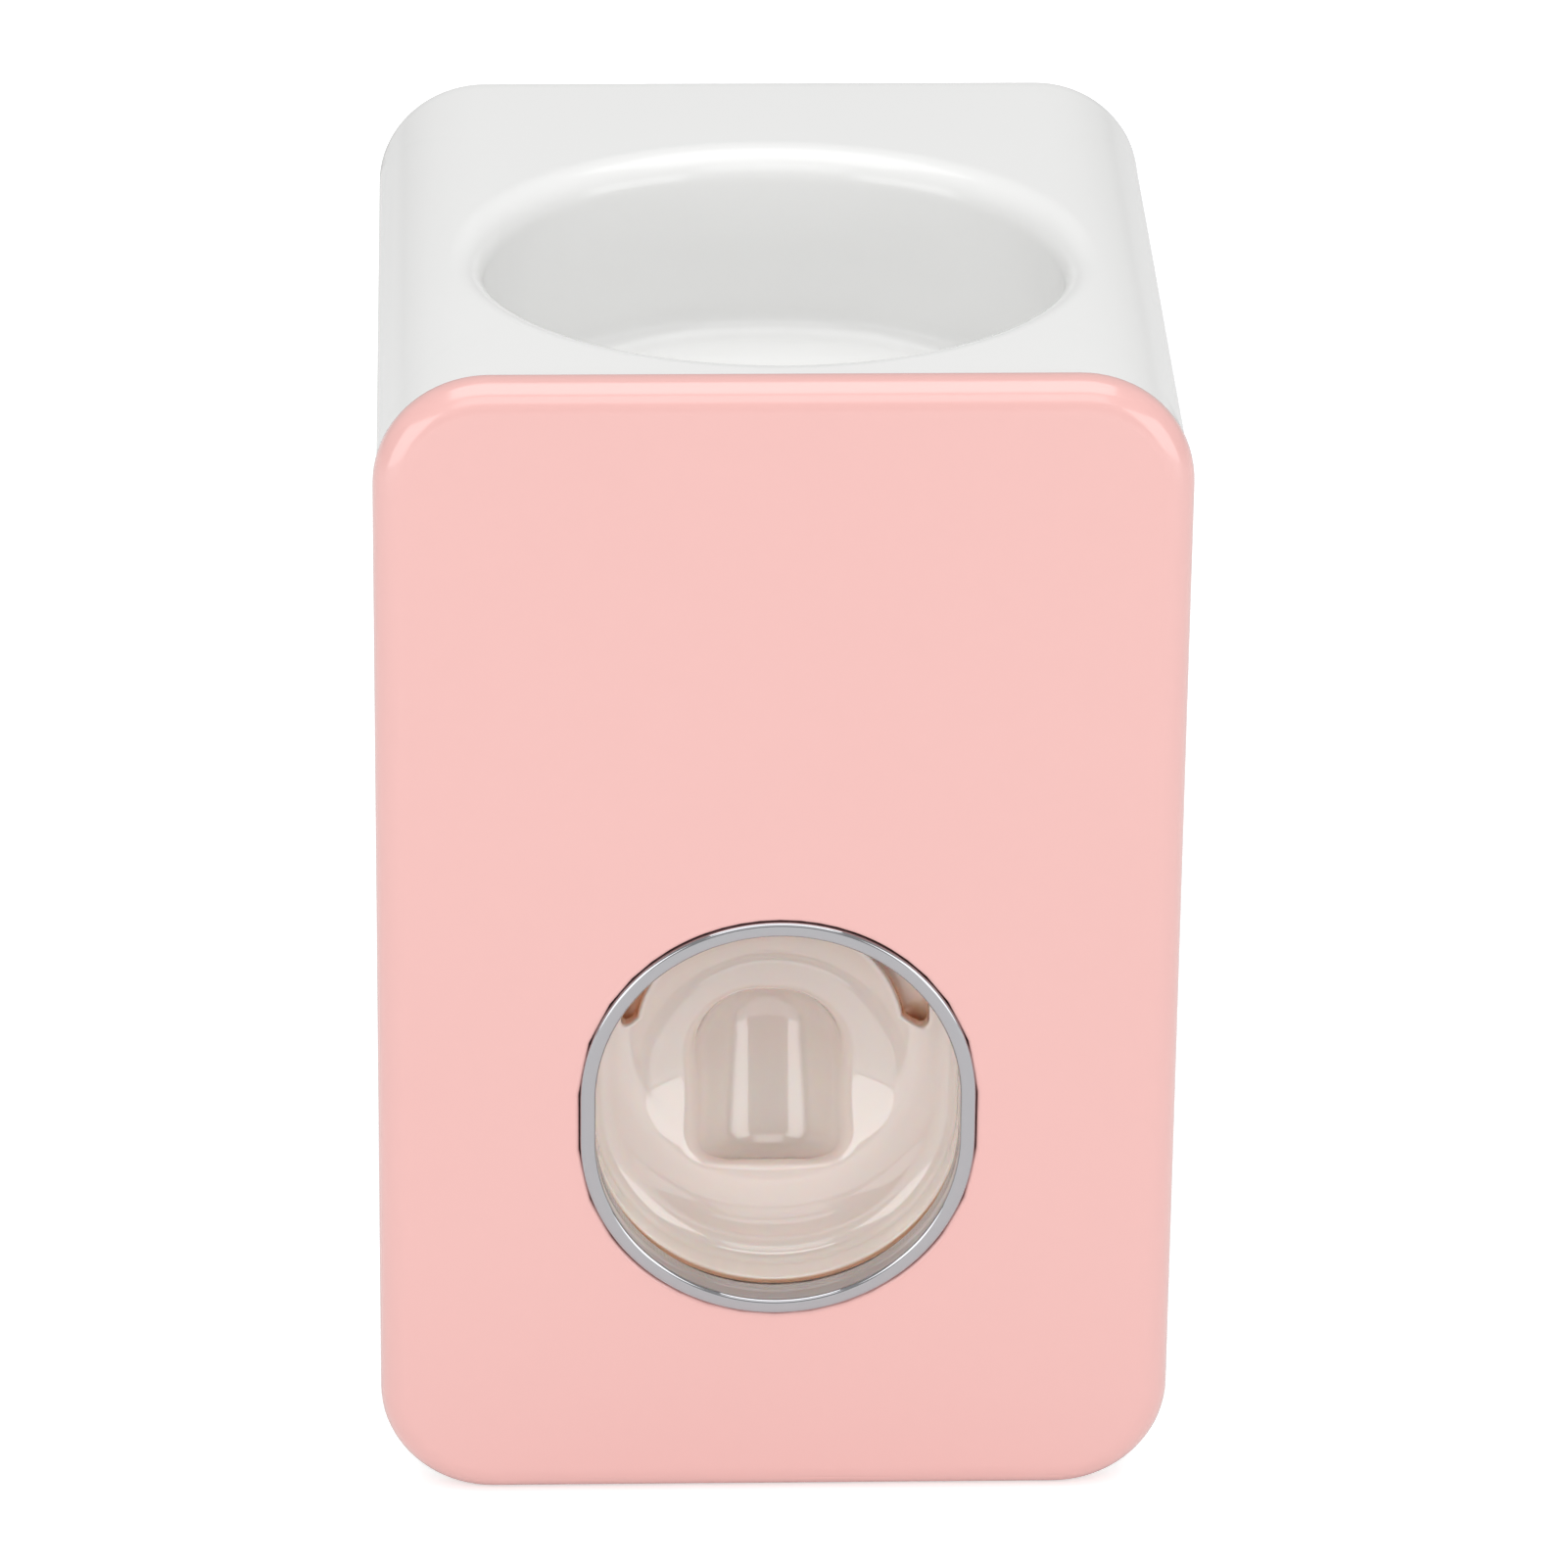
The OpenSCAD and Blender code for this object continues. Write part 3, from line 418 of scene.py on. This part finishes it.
def make_housing():
    """The outer skin with the well, thickened inwards."""
    y_list = list(np.linspace(Y_BODY, Y_BACK - BACK_EDGE_R, 29))
    y_edge = y_list[-1]
    s_max = HALF_FLAT + ARC_LENGTH
    arc_s = [HALF_FLAT + ARC_LENGTH * i / 20 for i in range(21)]
    s_list = [-s for s in reversed(arc_s)] + list(np.linspace(-HALF_FLAT, HALF_FLAT, 25)[1:-1]) + arc_s
    border = [(s_max, y) for y in y_list]
    border += [(s, y_edge) for s in reversed(s_list[:-1])]
    border += [(-s_max, y) for y in reversed(y_list[:-1])]
    border += [(s, y_list[0]) for s in s_list[1:-1]]
    angles = np.unwrap([math.atan2((y - WELL_Y) / WELL_B, s / WELL_A) for s, y in border])

    rows = well_rows(angles) + top_rows(angles, border)
    points = [p for row in rows for p in row]
    faces = ring_faces(len(rows), len(border))
    profile = side_profile()
    faces += ring_faces(len(profile), len(y_list), start=len(points), closed=False)
    points += [(x, y, z) for x, z in profile for y in y_list]
    loop = [top_point(s, y_edge) for s in reversed(s_list)]
    loop += [(x, y_edge, z) for x, z in reversed(profile[1:-1])]
    rows = back_rows(loop)
    faces += ring_faces(len(rows), len(loop), start=len(points))
    points += [p for row in rows for p in row]

    obj = add_mesh("housing_shell", points, faces)
    clean(obj, 0.002)
    solid = obj.modifiers.new("wall", "SOLIDIFY")
    solid.thickness = WALL * MM
    solid.offset = -1
    solid.use_even_offset = True
    return obj


def make_front_wall():
    """Front wall of the housing, with the seat of the ring and the lever's opening."""
    edge = WALL - FRONT_WALL_OVERLAP
    inner = [(x, z + edge) for x, z in rounded_rect(BODY_W - 2 * edge, BODY_H - 2 * edge, BODY_R - WALL)]
    angles = [math.atan2(z - WINDOW_Z, x) for x, z in inner]
    front, seat, back = Y_BODY + FRONT_WALL_SET_BACK, Y_BODY + FLANGE_T, Y_BODY + WALL

    def hole(radius, y):
        return at_depth(obround(radius, angles), y)

    rows = [at_depth(inner, front), hole(FLANGE_R + PLAY, front), hole(FLANGE_R + PLAY, seat),
            hole(OPENING_R, seat), hole(OPENING_R, back), at_depth(inner, back)]
    return add_rings("housing_front_wall", rows, smooth=False)


# Window ring

def make_ring():
    """The chrome ring, from its flange through its bore and over its front to its outside."""
    y_front = ring_low[1]
    edge = RING_EDGE_R
    profile = [(RING_IN_R + RING_FLARE, Y_BODY + FLANGE_T),
               (RING_IN_R, y_front + RING_FLARE_FROM),
               (RING_IN_R, y_front + edge + SIDE_STRIP)]
    profile += [(RING_IN_R + edge * (1 - math.cos(t)), y_front + edge * (1 - math.sin(t)))
                for t in quarter(6)]
    profile += [(RING_IN_R + edge + RING_STRIP, y_front), (RING_R - edge - RING_STRIP, y_front)]
    profile += [(RING_R - edge * (1 - math.sin(t)), y_front + edge * (1 - math.cos(t)))
                for t in quarter(6)]
    profile += [(RING_R, y_front + edge + SIDE_STRIP), (RING_R, Y_BODY - RING_STRIP), (RING_R, Y_BODY),
                (FLANGE_R, Y_BODY), (FLANGE_R, Y_BODY + FLANGE_T)]
    return add_rings("window_ring_bead", [at_depth(obround_even(radius), y) for radius, y in profile])


# Lever, from one smooth distance field

def smooth_min(a, b, k):
    """The lesser of two distances, rounded where they differ by less than k."""
    h = np.maximum(k - np.abs(a - b), 0) / k
    return np.minimum(a, b) - h * h * k / 4


def smooth_max(a, b, k):
    return -smooth_min(-a, -b, k)


def between(value, low, high):
    """Signed distance to the space between two limits."""
    return np.maximum(low - value, value - high)


def length_of(*parts):
    return np.sqrt(sum(part * part for part in parts))


def round_corner(a, b, radius):
    """Distance to two faces that meet in a rounded edge, from the distances to each."""
    a, b = a + radius, b + radius
    return np.minimum(np.maximum(a, b), 0) + length_of(np.maximum(a, 0), np.maximum(b, 0)) - radius


def lever_shell(across, y, z, bowl, niche, floor):
    """The bowl's and the niche's outside, with a slimmer rim where it stands free above the plate."""
    free = np.clip((z - Z_PLATE_TOP) / FREE_RIM_FADE, 0, 1)
    around = length_of(across, z - BOWL_Z) - BOWL_RIM_IN_R - BOWL_RIM_T + FREE_RIM_SLIM * free
    shell = smooth_max(bowl - BOWL_WALL, around, SHELL_EDGE_R)
    shell = smooth_min(shell, smooth_max(niche - BOWL_WALL, floor - BOWL_WALL, OUTER_R), SHELL_R)
    return smooth_max(shell, np.maximum(Y_RIM + FREE_RIM_BACK * free - y, z - BOWL_TOP), SHELL_TOP_R)


def lever_collar(x, y, z):
    """The web behind the bowl and the two wings that tie it to the arms."""
    web = np.maximum(np.abs(x) - LEVER_R + WEB_INSET, between(y, WEB_Y, WEB_Y + BOWL_WALL))
    wing = np.maximum(between(np.abs(x), LEVER_R - BOWL_WALL, LEVER_R),
                      between(y, Y_PLATE, WEB_Y + BOWL_WALL))
    return np.maximum(smooth_min(web, wing, OUTER_R), between(z, COLLAR_LOW, COLLAR_HIGH))


def lever_arms(x, y, z):
    """Two arms that end in the eyes for the hinge pins."""
    thickness = between(np.abs(x), LEVER_R - ARM_T, LEVER_R)
    arm = np.maximum(thickness, np.abs(y - PIVOT_Y) - ARM_D / 2)
    arm = np.maximum(arm, between(z, Z_PLATE_TOP - ARM_ROOT, PIVOT_Z))
    eye = np.maximum(thickness, length_of(y - PIVOT_Y, z - PIVOT_Z) - EYE_R)
    return smooth_min(arm, eye, JOIN_R)


def lever_nub(x, y, z):
    """The rod with a round end that presses the plunger."""
    rod = np.maximum(length_of(x, z - NUB_Z) - NUB_R, between(y, NUB_Y - NUB_L, NUB_Y))
    return np.minimum(rod, length_of(x, y - NUB_Y, z - NUB_Z) - NUB_R)


def lever_field(x, y, z):
    """Signed distance to the lever's surface, negative inside, in millimetres."""
    spine = length_of(x, np.minimum(z - Z_LOW, 0))
    face = smooth_max(spine - LEVER_R - LIP_GROW, z - Z_PLATE_TOP, JOIN_R)
    plate = smooth_max(smooth_max(face, Y_LIP - y, LIP_R), y - Y_PLATE - PLATE_T, CREASE_R)

    across = x - BOWL_X
    bowl = length_of(across, y - BOWL_Y, z - BOWL_Z) - BOWL_R
    leaning = (y - NICHE_Y) * math.cos(NICHE_LEAN) - (z - NICHE_MIDDLE) * math.sin(NICHE_LEAN)
    niche = round_corner(length_of(across, leaning) - NICHE_R, z - NICHE_TOP, NICHE_DOME_R)
    floor = (NICHE_FLOOR - z) * math.cos(NICHE_SLOPE) - (y - Y_RIM) * math.sin(NICHE_SLOPE)

    solid = smooth_min(plate, lever_shell(across, y, z, bowl, niche, floor), JOIN_R)
    solid = smooth_min(solid, lever_collar(x, y, z), JOIN_R)
    solid = smooth_min(solid, lever_arms(x, y, z), JOIN_R)
    solid = smooth_min(solid, lever_nub(x, y, z), NUB_JOIN_R)

    dish = round_corner(spine - LEVER_R + LIP_LAND, y - Y_PLATE, DISH_R)
    cut = smooth_min(smooth_min(dish, bowl, CUT_R), smooth_max(niche, floor, NICHE_FLOOR_R), CUT_R)
    solid = smooth_max(solid, -cut, CREASE_R)
    return np.maximum(solid, PIN_BORE_R - length_of(y - PIVOT_Y, z - PIVOT_Z))


def surface_of(field, low, high, step):
    """Points and quads on the zero surface of a field, one point in each grid cell that it crosses."""
    axes = [np.arange(a - step, b + 2 * step, step, dtype=np.float64) for a, b in zip(low, high)]
    value = np.empty([len(a) for a in axes], dtype=np.float32)
    grid_y, grid_z = np.meshgrid(axes[1], axes[2], indexing="ij")
    for i, x in enumerate(axes[0]):
        value[i] = field(np.full_like(grid_y, x), grid_y, grid_z)
    inside = value < 0
    count = sum(inside[dx:dx - 1 or None, dy:dy - 1 or None, dz:dz - 1 or None].astype(np.int8)
                for dx in (0, 1) for dy in (0, 1) for dz in (0, 1))
    active = (count > 0) & (count < 8)
    cells = np.argwhere(active)
    index = np.full(active.shape, -1, dtype=np.int64)
    index[tuple(cells.T)] = np.arange(len(cells))

    # Each cell's point is the mean of where its twelve edges cross the surface
    total = np.zeros((len(cells), 3))
    hits = np.zeros(len(cells))
    for a in [np.array(corner) for corner in np.ndindex(2, 2, 2)]:
        for axis in range(3):
            if a[axis]:
                continue
            b = a.copy()
            b[axis] = 1
            start = value[tuple((cells + a).T)]
            end = value[tuple((cells + b).T)]
            crosses = (start < 0) != (end < 0)
            t = np.where(crosses, start / np.where(crosses, start - end, 1), 0)
            place = a + t[:, None] * (b - a)
            total += np.where(crosses[:, None], place, 0)
            hits += crosses
    origin = np.array([a[0] for a in axes])
    points = origin + (cells + total / hits[:, None]) * step

    # Each grid edge that crosses the surface gets a quad between the four cells round it
    quads = []
    for axis in range(3):
        u, v = [k for k in range(3) if k != axis]
        first = [slice(None)] * 3
        second = [slice(None)] * 3
        first[axis], second[axis] = slice(0, -1), slice(1, None)
        edges = np.argwhere(inside[tuple(first)] != inside[tuple(second)])
        edges = edges[(edges[:, u] > 0) & (edges[:, v] > 0)]
        edges = edges[(edges[:, u] < index.shape[u]) & (edges[:, v] < index.shape[v])]
        step_u, step_v = np.eye(3, dtype=int)[u], np.eye(3, dtype=int)[v]
        ids = [index[tuple((edges - p).T)] for p in (step_u + step_v, step_v, 0 * step_u, step_u)]
        quad = np.stack(ids, axis=1)
        flip = inside[tuple(edges.T)] ^ (axis == 1)
        quad[~flip] = quad[~flip][:, ::-1]
        quads.append(quad)
    quads = np.concatenate(quads)
    return points, quads[(quads >= 0).all(axis=1)]


def slope_of(field, points, reach=0.02):
    """Unit normals and the field's slope at points."""
    slope = np.zeros_like(points)
    for axis in range(3):
        shift = np.zeros(3)
        shift[axis] = reach
        ahead = field(*(points + shift).T)
        behind = field(*(points - shift).T)
        slope[:, axis] = (ahead - behind) / (2 * reach)
    length = np.maximum(np.linalg.norm(slope, axis=1), 1e-6)
    return slope / length[:, None], length


def make_lever():
    """The cream moulding: a grid's points drawn onto the field's surface, with the field's normals."""
    step = 0.24
    points, quads = surface_of(lever_field, lever_low - LIP_GROW, lever_high + LIP_GROW, step)
    for _ in range(4):
        normal, length = slope_of(lever_field, points)
        distance = lever_field(*points.T) / length
        points -= normal * np.clip(distance, -step, step)[:, None]
    obj = add_mesh("push_lever_moulding", points, quads.tolist())
    normal, _ = slope_of(lever_field, points, 0.05)
    obj.data.normals_split_custom_set_from_vertices([tuple(n) for n in normal])
    return obj


# Screws of the back cover

def cross_reach(angle, grow):
    """How far the cross recess reaches from its centre in a direction."""
    c, s = abs(math.cos(angle)), abs(math.sin(angle))
    return min((CROSS_ARM + grow) / max(c, s), (CROSS_HALF_W + grow) / max(min(c, s), 1e-6))


def screw_angles():
    """Directions round a screw, with one at each corner of its cross recess."""
    corner = math.atan2(CROSS_HALF_W, CROSS_ARM)
    quarter_turn = [corner * i / 3 for i in range(4)]
    quarter_turn += [corner + (math.pi / 4 - corner) * i / 5 for i in range(1, 6)]
    quarter_turn += [math.pi / 2 - a for a in reversed(quarter_turn[1:-1])]
    return [a + math.pi / 2 * k for k in range(4) for a in quarter_turn]


def screw_rows(x, z, angles):
    """Rings from a screw's tip over its shank and head into the cross recess."""
    tip, top = screws_low[1], screws_high[1]
    profile = [(TIP_R, tip), (SHANK_R, tip + TIP_L), (SHANK_R, top - HEAD_T)]
    profile += [(HEAD_R - inset, top - drop) for inset, drop in HEAD_PROFILE]
    rows = [[(x + r * math.cos(a), y, z + r * math.sin(a)) for a in angles] for r, y in profile]
    for grow, drop in CROSS_PROFILE:
        reach = [cross_reach(a, grow) for a in angles]
        rows.append([(x + r * math.cos(a), top - drop, z + r * math.sin(a)) for r, a in zip(reach, angles)])
    return rows


def make_back_screws():
    """Four screws with pan heads and cross recesses, along y."""
    angles = screw_angles()
    count = len(angles)
    points, faces = [], []
    for x in (screws_low[0] + HEAD_R, screws_high[0] - HEAD_R):
        for z in (screws_low[2] + HEAD_R, screws_high[2] - HEAD_R):
            start = len(points)
            rows = screw_rows(x, z, angles)
            points += [p for row in rows for p in row]
            faces += ring_faces(len(rows), count, start)
            last = len(points) - count
            tip, floor = len(points), len(points) + 1
            points += [(x, screws_low[1], z), (x, screws_high[1] - CROSS_DEPTH, z)]
            for i in range(count):
                j = (i + 1) % count
                faces += [(tip, start + j, start + i), (floor, last + i, last + j)]
    obj = add_mesh("back_cover_screws", points, faces, smooth=False)
    clean(obj)
    return obj


# Bellows and spring, which the plunger presses together

def press_soft(node, name):
    """A copy of a node's mesh in place, with the node's material and body."""
    source = frame["nodes"][node]
    mesh = source.data.copy()
    mesh.name = name
    mesh.transform(source.matrix_world)
    obj = bpy.data.objects.new(name, mesh)
    bpy.context.scene.collection.objects.link(obj)
    finish_piece(obj, "housing", node)
    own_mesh(obj)


# Materials

def new_material(name, color, roughness, **inputs):
    material = bpy.data.materials.new(name)
    material.use_nodes = True
    shader = material.node_tree.nodes["Principled BSDF"]
    shader.inputs["Base Color"].default_value = (*color, 1)
    shader.inputs["Roughness"].default_value = roughness
    for key, value in inputs.items():
        shader.inputs[key.replace("_", " ").title().replace("Ior", "IOR")].default_value = value
    return material


def srgb(r, g, b):
    """Linear colour from 0 to 255 display values."""
    return tuple(((c / 255 + 0.055) / 1.055) ** 2.4 for c in (r, g, b))


def add_noise(material, scale, detail):
    """Noise in the object's own space, for a tone or a bump."""
    nodes, links = material.node_tree.nodes, material.node_tree.links
    place = nodes.new("ShaderNodeTexCoord")
    noise = nodes.new("ShaderNodeTexNoise")
    noise.inputs["Scale"].default_value = scale
    noise.inputs["Detail"].default_value = detail
    links.new(place.outputs["Object"], noise.inputs["Vector"])
    return noise


def add_variation(material, scale, amount):
    """A slow change of tone, as pigment flows in a moulding."""
    nodes, links = material.node_tree.nodes, material.node_tree.links
    base = nodes["Principled BSDF"].inputs["Base Color"]
    tone = base.default_value[:3]
    mix = nodes.new("ShaderNodeMix")
    mix.data_type = "RGBA"
    mix.inputs["A"].default_value = (*[c * (1 - amount) for c in tone], 1)
    mix.inputs["B"].default_value = (*[min(c * (1 + amount), 1) for c in tone], 1)
    links.new(add_noise(material, scale, 3).outputs["Fac"], mix.inputs["Factor"])
    links.new(mix.outputs["Result"], base)


def add_bump(material, scale, height):
    """Fine unevenness of the surface; height is in metres."""
    nodes, links = material.node_tree.nodes, material.node_tree.links
    bump = nodes.new("ShaderNodeBump")
    bump.inputs["Strength"].default_value = 1
    bump.inputs["Distance"].default_value = height
    links.new(add_noise(material, scale, 2).outputs["Fac"], bump.inputs["Height"])
    links.new(bump.outputs["Normal"], nodes["Principled BSDF"].inputs["Normal"])


def paint_shade_in_recesses(material, shade_tone, reach):
    """Painted shade: a darker, warmer tone where the surface is enclosed, standing in for the shade there
    and for light that has gone through the plastic.
    """
    nodes, links = material.node_tree.nodes, material.node_tree.links
    base = nodes["Principled BSDF"].inputs["Base Color"]
    source = base.links[0].from_socket
    open_part = nodes.new("ShaderNodeAmbientOcclusion")
    open_part.inputs["Distance"].default_value = reach
    open_part.samples = 8
    ramp = nodes.new("ShaderNodeMapRange")
    ramp.inputs["From Min"].default_value = 0.1
    ramp.inputs["From Max"].default_value = 0.75
    mix = nodes.new("ShaderNodeMix")
    mix.data_type = "RGBA"
    # painted shade tone for the enclosed parts
    mix.inputs["A"].default_value = (*shade_tone, 1)
    links.new(open_part.outputs["AO"], ramp.inputs["Value"])
    links.new(ramp.outputs["Result"], mix.inputs["Factor"])
    links.new(source, mix.inputs["B"])
    links.new(mix.outputs["Result"], base)


def moulded(name, color, roughness, peel=0.000002, vary=0.01, **inputs):
    """A material with a slow change of tone and a faint orange peel."""
    material = new_material(name, color, roughness, **inputs)
    add_variation(material, 30, vary)
    add_bump(material, 180, peel)
    return material


def make_materials():
    """Materials by the names of the record's slots."""
    made = {
        "white_abs": moulded("white gloss", srgb(240, 240, 239), 0.14),
        "white_abs_inner": moulded("white satin", srgb(232, 231, 228), 0.35),
        "pink_abs": moulded("pink gloss", srgb(241, 188, 183), 0.12,
                            coat_weight=0.7, coat_roughness=0.22, coat_ior=1.6),
        "cream_plastic": moulded("cream gloss", srgb(245, 227, 218), 0.2,
                                 subsurface_weight=0.3, subsurface_scale=0.003,
                                 coat_weight=1.0, coat_roughness=0.01, coat_ior=1.7),
        "chrome_trim": moulded("chrome", (0.5, 0.5, 0.52), 0.05, 0.000004, 0.02, metallic=1.0),
        "silicone": moulded("silicone", srgb(214, 216, 214), 0.32,
                            subsurface_weight=0.25, subsurface_scale=0.003),
        "acetal": moulded("acetal", srgb(226, 226, 220), 0.3),
    }
    # Painted shade: the cream turns a darker tan where the surface is enclosed.
    paint_shade_in_recesses(made["cream_plastic"], srgb(241, 182, 136), 0.004)
    for slot, tone in (("spring_steel", 0.5), ("pin_steel", 0.6), ("screw_steel", 0.55)):
        name, color = slot.replace("_", " "), (tone, tone, tone * 1.02)
        made[slot] = moulded(name, color, 0.25, 0.000003, 0.05, metallic=1.0)
    return made


def finish_piece(obj, body, node):
    """Gives a piece the material of its node's slot and its body, and hides the node."""
    obj.data.materials.clear()
    obj.data.materials.append(materials[slots[node]])
    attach(obj, body)
    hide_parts(node)


# Stage, light and camera; places and sizes are in metres

FLOOR_HALF = 3.0
FLOOR_GREY = 0.86
FLOOR_GLOW = 0.5
WORLD_GREY = 0.42


def make_floor():
    """Pale paper that glows only for the camera, so that it shows white."""
    mesh = bpy.data.meshes.new("floor")
    corners = [(-1, -1), (1, -1), (1, 1), (-1, 1)]
    mesh.from_pydata([(x * FLOOR_HALF, y * FLOOR_HALF, 0) for x, y in corners], [], [(0, 1, 2, 3)])
    floor = bpy.data.objects.new("floor", mesh)
    bpy.context.scene.collection.objects.link(floor)
    material = bpy.data.materials.new("floor paper")
    material.use_nodes = True
    nodes, links = material.node_tree.nodes, material.node_tree.links
    nodes.clear()
    diffuse = nodes.new("ShaderNodeBsdfDiffuse")
    diffuse.inputs["Color"].default_value = (FLOOR_GREY, FLOOR_GREY, FLOOR_GREY, 1)
    glow = nodes.new("ShaderNodeEmission")
    rays = nodes.new("ShaderNodeLightPath")
    seen = nodes.new("ShaderNodeMath")
    seen.operation = "MAXIMUM"
    gain = nodes.new("ShaderNodeMath")
    gain.operation = "MULTIPLY"
    gain.inputs[1].default_value = FLOOR_GLOW
    add = nodes.new("ShaderNodeAddShader")
    out = nodes.new("ShaderNodeOutputMaterial")
    links.new(rays.outputs["Is Camera Ray"], seen.inputs[0])
    links.new(rays.outputs["Is Transmission Ray"], seen.inputs[1])
    links.new(seen.outputs[0], gain.inputs[0])
    links.new(gain.outputs[0], glow.inputs["Strength"])
    links.new(diffuse.outputs[0], add.inputs[0])
    links.new(glow.outputs[0], add.inputs[1])
    links.new(add.outputs[0], out.inputs["Surface"])
    mesh.materials.append(material)


def make_world():
    """A soft grey world that the camera sees as white."""
    world = bpy.data.worlds.new("studio")
    bpy.context.scene.world = world
    world.use_nodes = True
    nodes, links = world.node_tree.nodes, world.node_tree.links
    rays = nodes.new("ShaderNodeLightPath")
    mix = nodes.new("ShaderNodeMix")
    mix.data_type = "RGBA"
    mix.inputs["A"].default_value = (WORLD_GREY, WORLD_GREY, WORLD_GREY, 1)
    mix.inputs["B"].default_value = (1, 1, 1, 1)
    background = nodes["Background"]
    background.inputs["Strength"].default_value = 1
    links.new(rays.outputs["Is Camera Ray"], mix.inputs["Factor"])
    links.new(mix.outputs["Result"], background.inputs["Color"])


def soft_box(name, place, aim, width, height, power):
    light = bpy.data.lights.new(name, "AREA")
    light.shape = "RECTANGLE"
    light.size = width
    light.size_y = height
    light.energy = power
    obj = bpy.data.objects.new(name, light)
    obj.location = place
    obj.rotation_euler = (Vector(aim) - Vector(place)).to_track_quat("-Z", "Y").to_euler()
    obj.visible_camera = False
    bpy.context.scene.collection.objects.link(obj)


def make_lights():
    """Two boxes beside the front that show in bowl and niche, one above and one in front."""
    for name, side in (("left box", -1), ("right box", 1)):
        soft_box(name, (side * 0.414, -0.347, 0.18), (0, 0, 0.12), 0.4, 0.32, 0.72)
    soft_box("top box", (0, -0.05, 1.15), (0, 0, 0.05), 1.2, 1.0, 7)
    soft_box("front box", (0, -0.97, 0.92), (0, 0, 0.05), 1.0, 0.6, 2.1)


# The photograph's camera, fitted to its edges; angles in degrees, distance and target in millimetres
CAMERA = {"focal_px": 9598.3, "distance": 799.9, "yaw": 2.2496, "pitch": 25.987, "roll": 0.6568,
          "target": (1.4827, 0.14, 50.25), "image": 1601}
SENSOR_MM = 36


def make_camera():
    yaw, pitch, roll = [math.radians(CAMERA[k]) for k in ("yaw", "pitch", "roll")]
    ahead = Vector((math.sin(yaw) * math.cos(pitch), math.cos(yaw) * math.cos(pitch), -math.sin(pitch)))
    level = Vector((math.cos(yaw), -math.sin(yaw), 0))
    above = level.cross(ahead)
    right = math.cos(roll) * level + math.sin(roll) * above
    up = -math.sin(roll) * level + math.cos(roll) * above
    place = (Vector(CAMERA["target"]) - ahead * CAMERA["distance"]) * MM
    data = bpy.data.cameras.new("camera")
    data.sensor_width = SENSOR_MM
    data.lens = SENSOR_MM * CAMERA["focal_px"] / CAMERA["image"]
    data.clip_start = 0.01
    camera = bpy.data.objects.new("camera", data)
    turn = Matrix((right, up, -ahead)).transposed().to_4x4()
    camera.matrix_world = Matrix.Translation(place) @ turn
    bpy.context.scene.collection.objects.link(camera)
    bpy.context.scene.camera = camera


make_camera()
make_floor()
make_world()
make_lights()
materials = make_materials()
slots = {entry["node"]: entry["material_slot"] for entry in frame["record"]["subparts"]}
for name, node in frame["nodes"].items():
    node.data.materials.clear()
    node.data.materials.append(materials[slots[name]])

finish_piece(make_cover(), "housing", "front_cover")
finish_piece(make_housing(), "housing", "main_body")
finish_piece(make_front_wall(), "housing", "front_plate")
finish_piece(make_ring(), "housing", "window_ring")
finish_piece(make_lever(), "lever", "push_lever")
finish_piece(make_back_screws(), "housing", "back_screws")
press_soft("pump_bellows", "pump_bellows_moulding")
press_soft("return_spring", "return_spring_wire")

bpy.context.scene.view_settings.view_transform = "Standard"
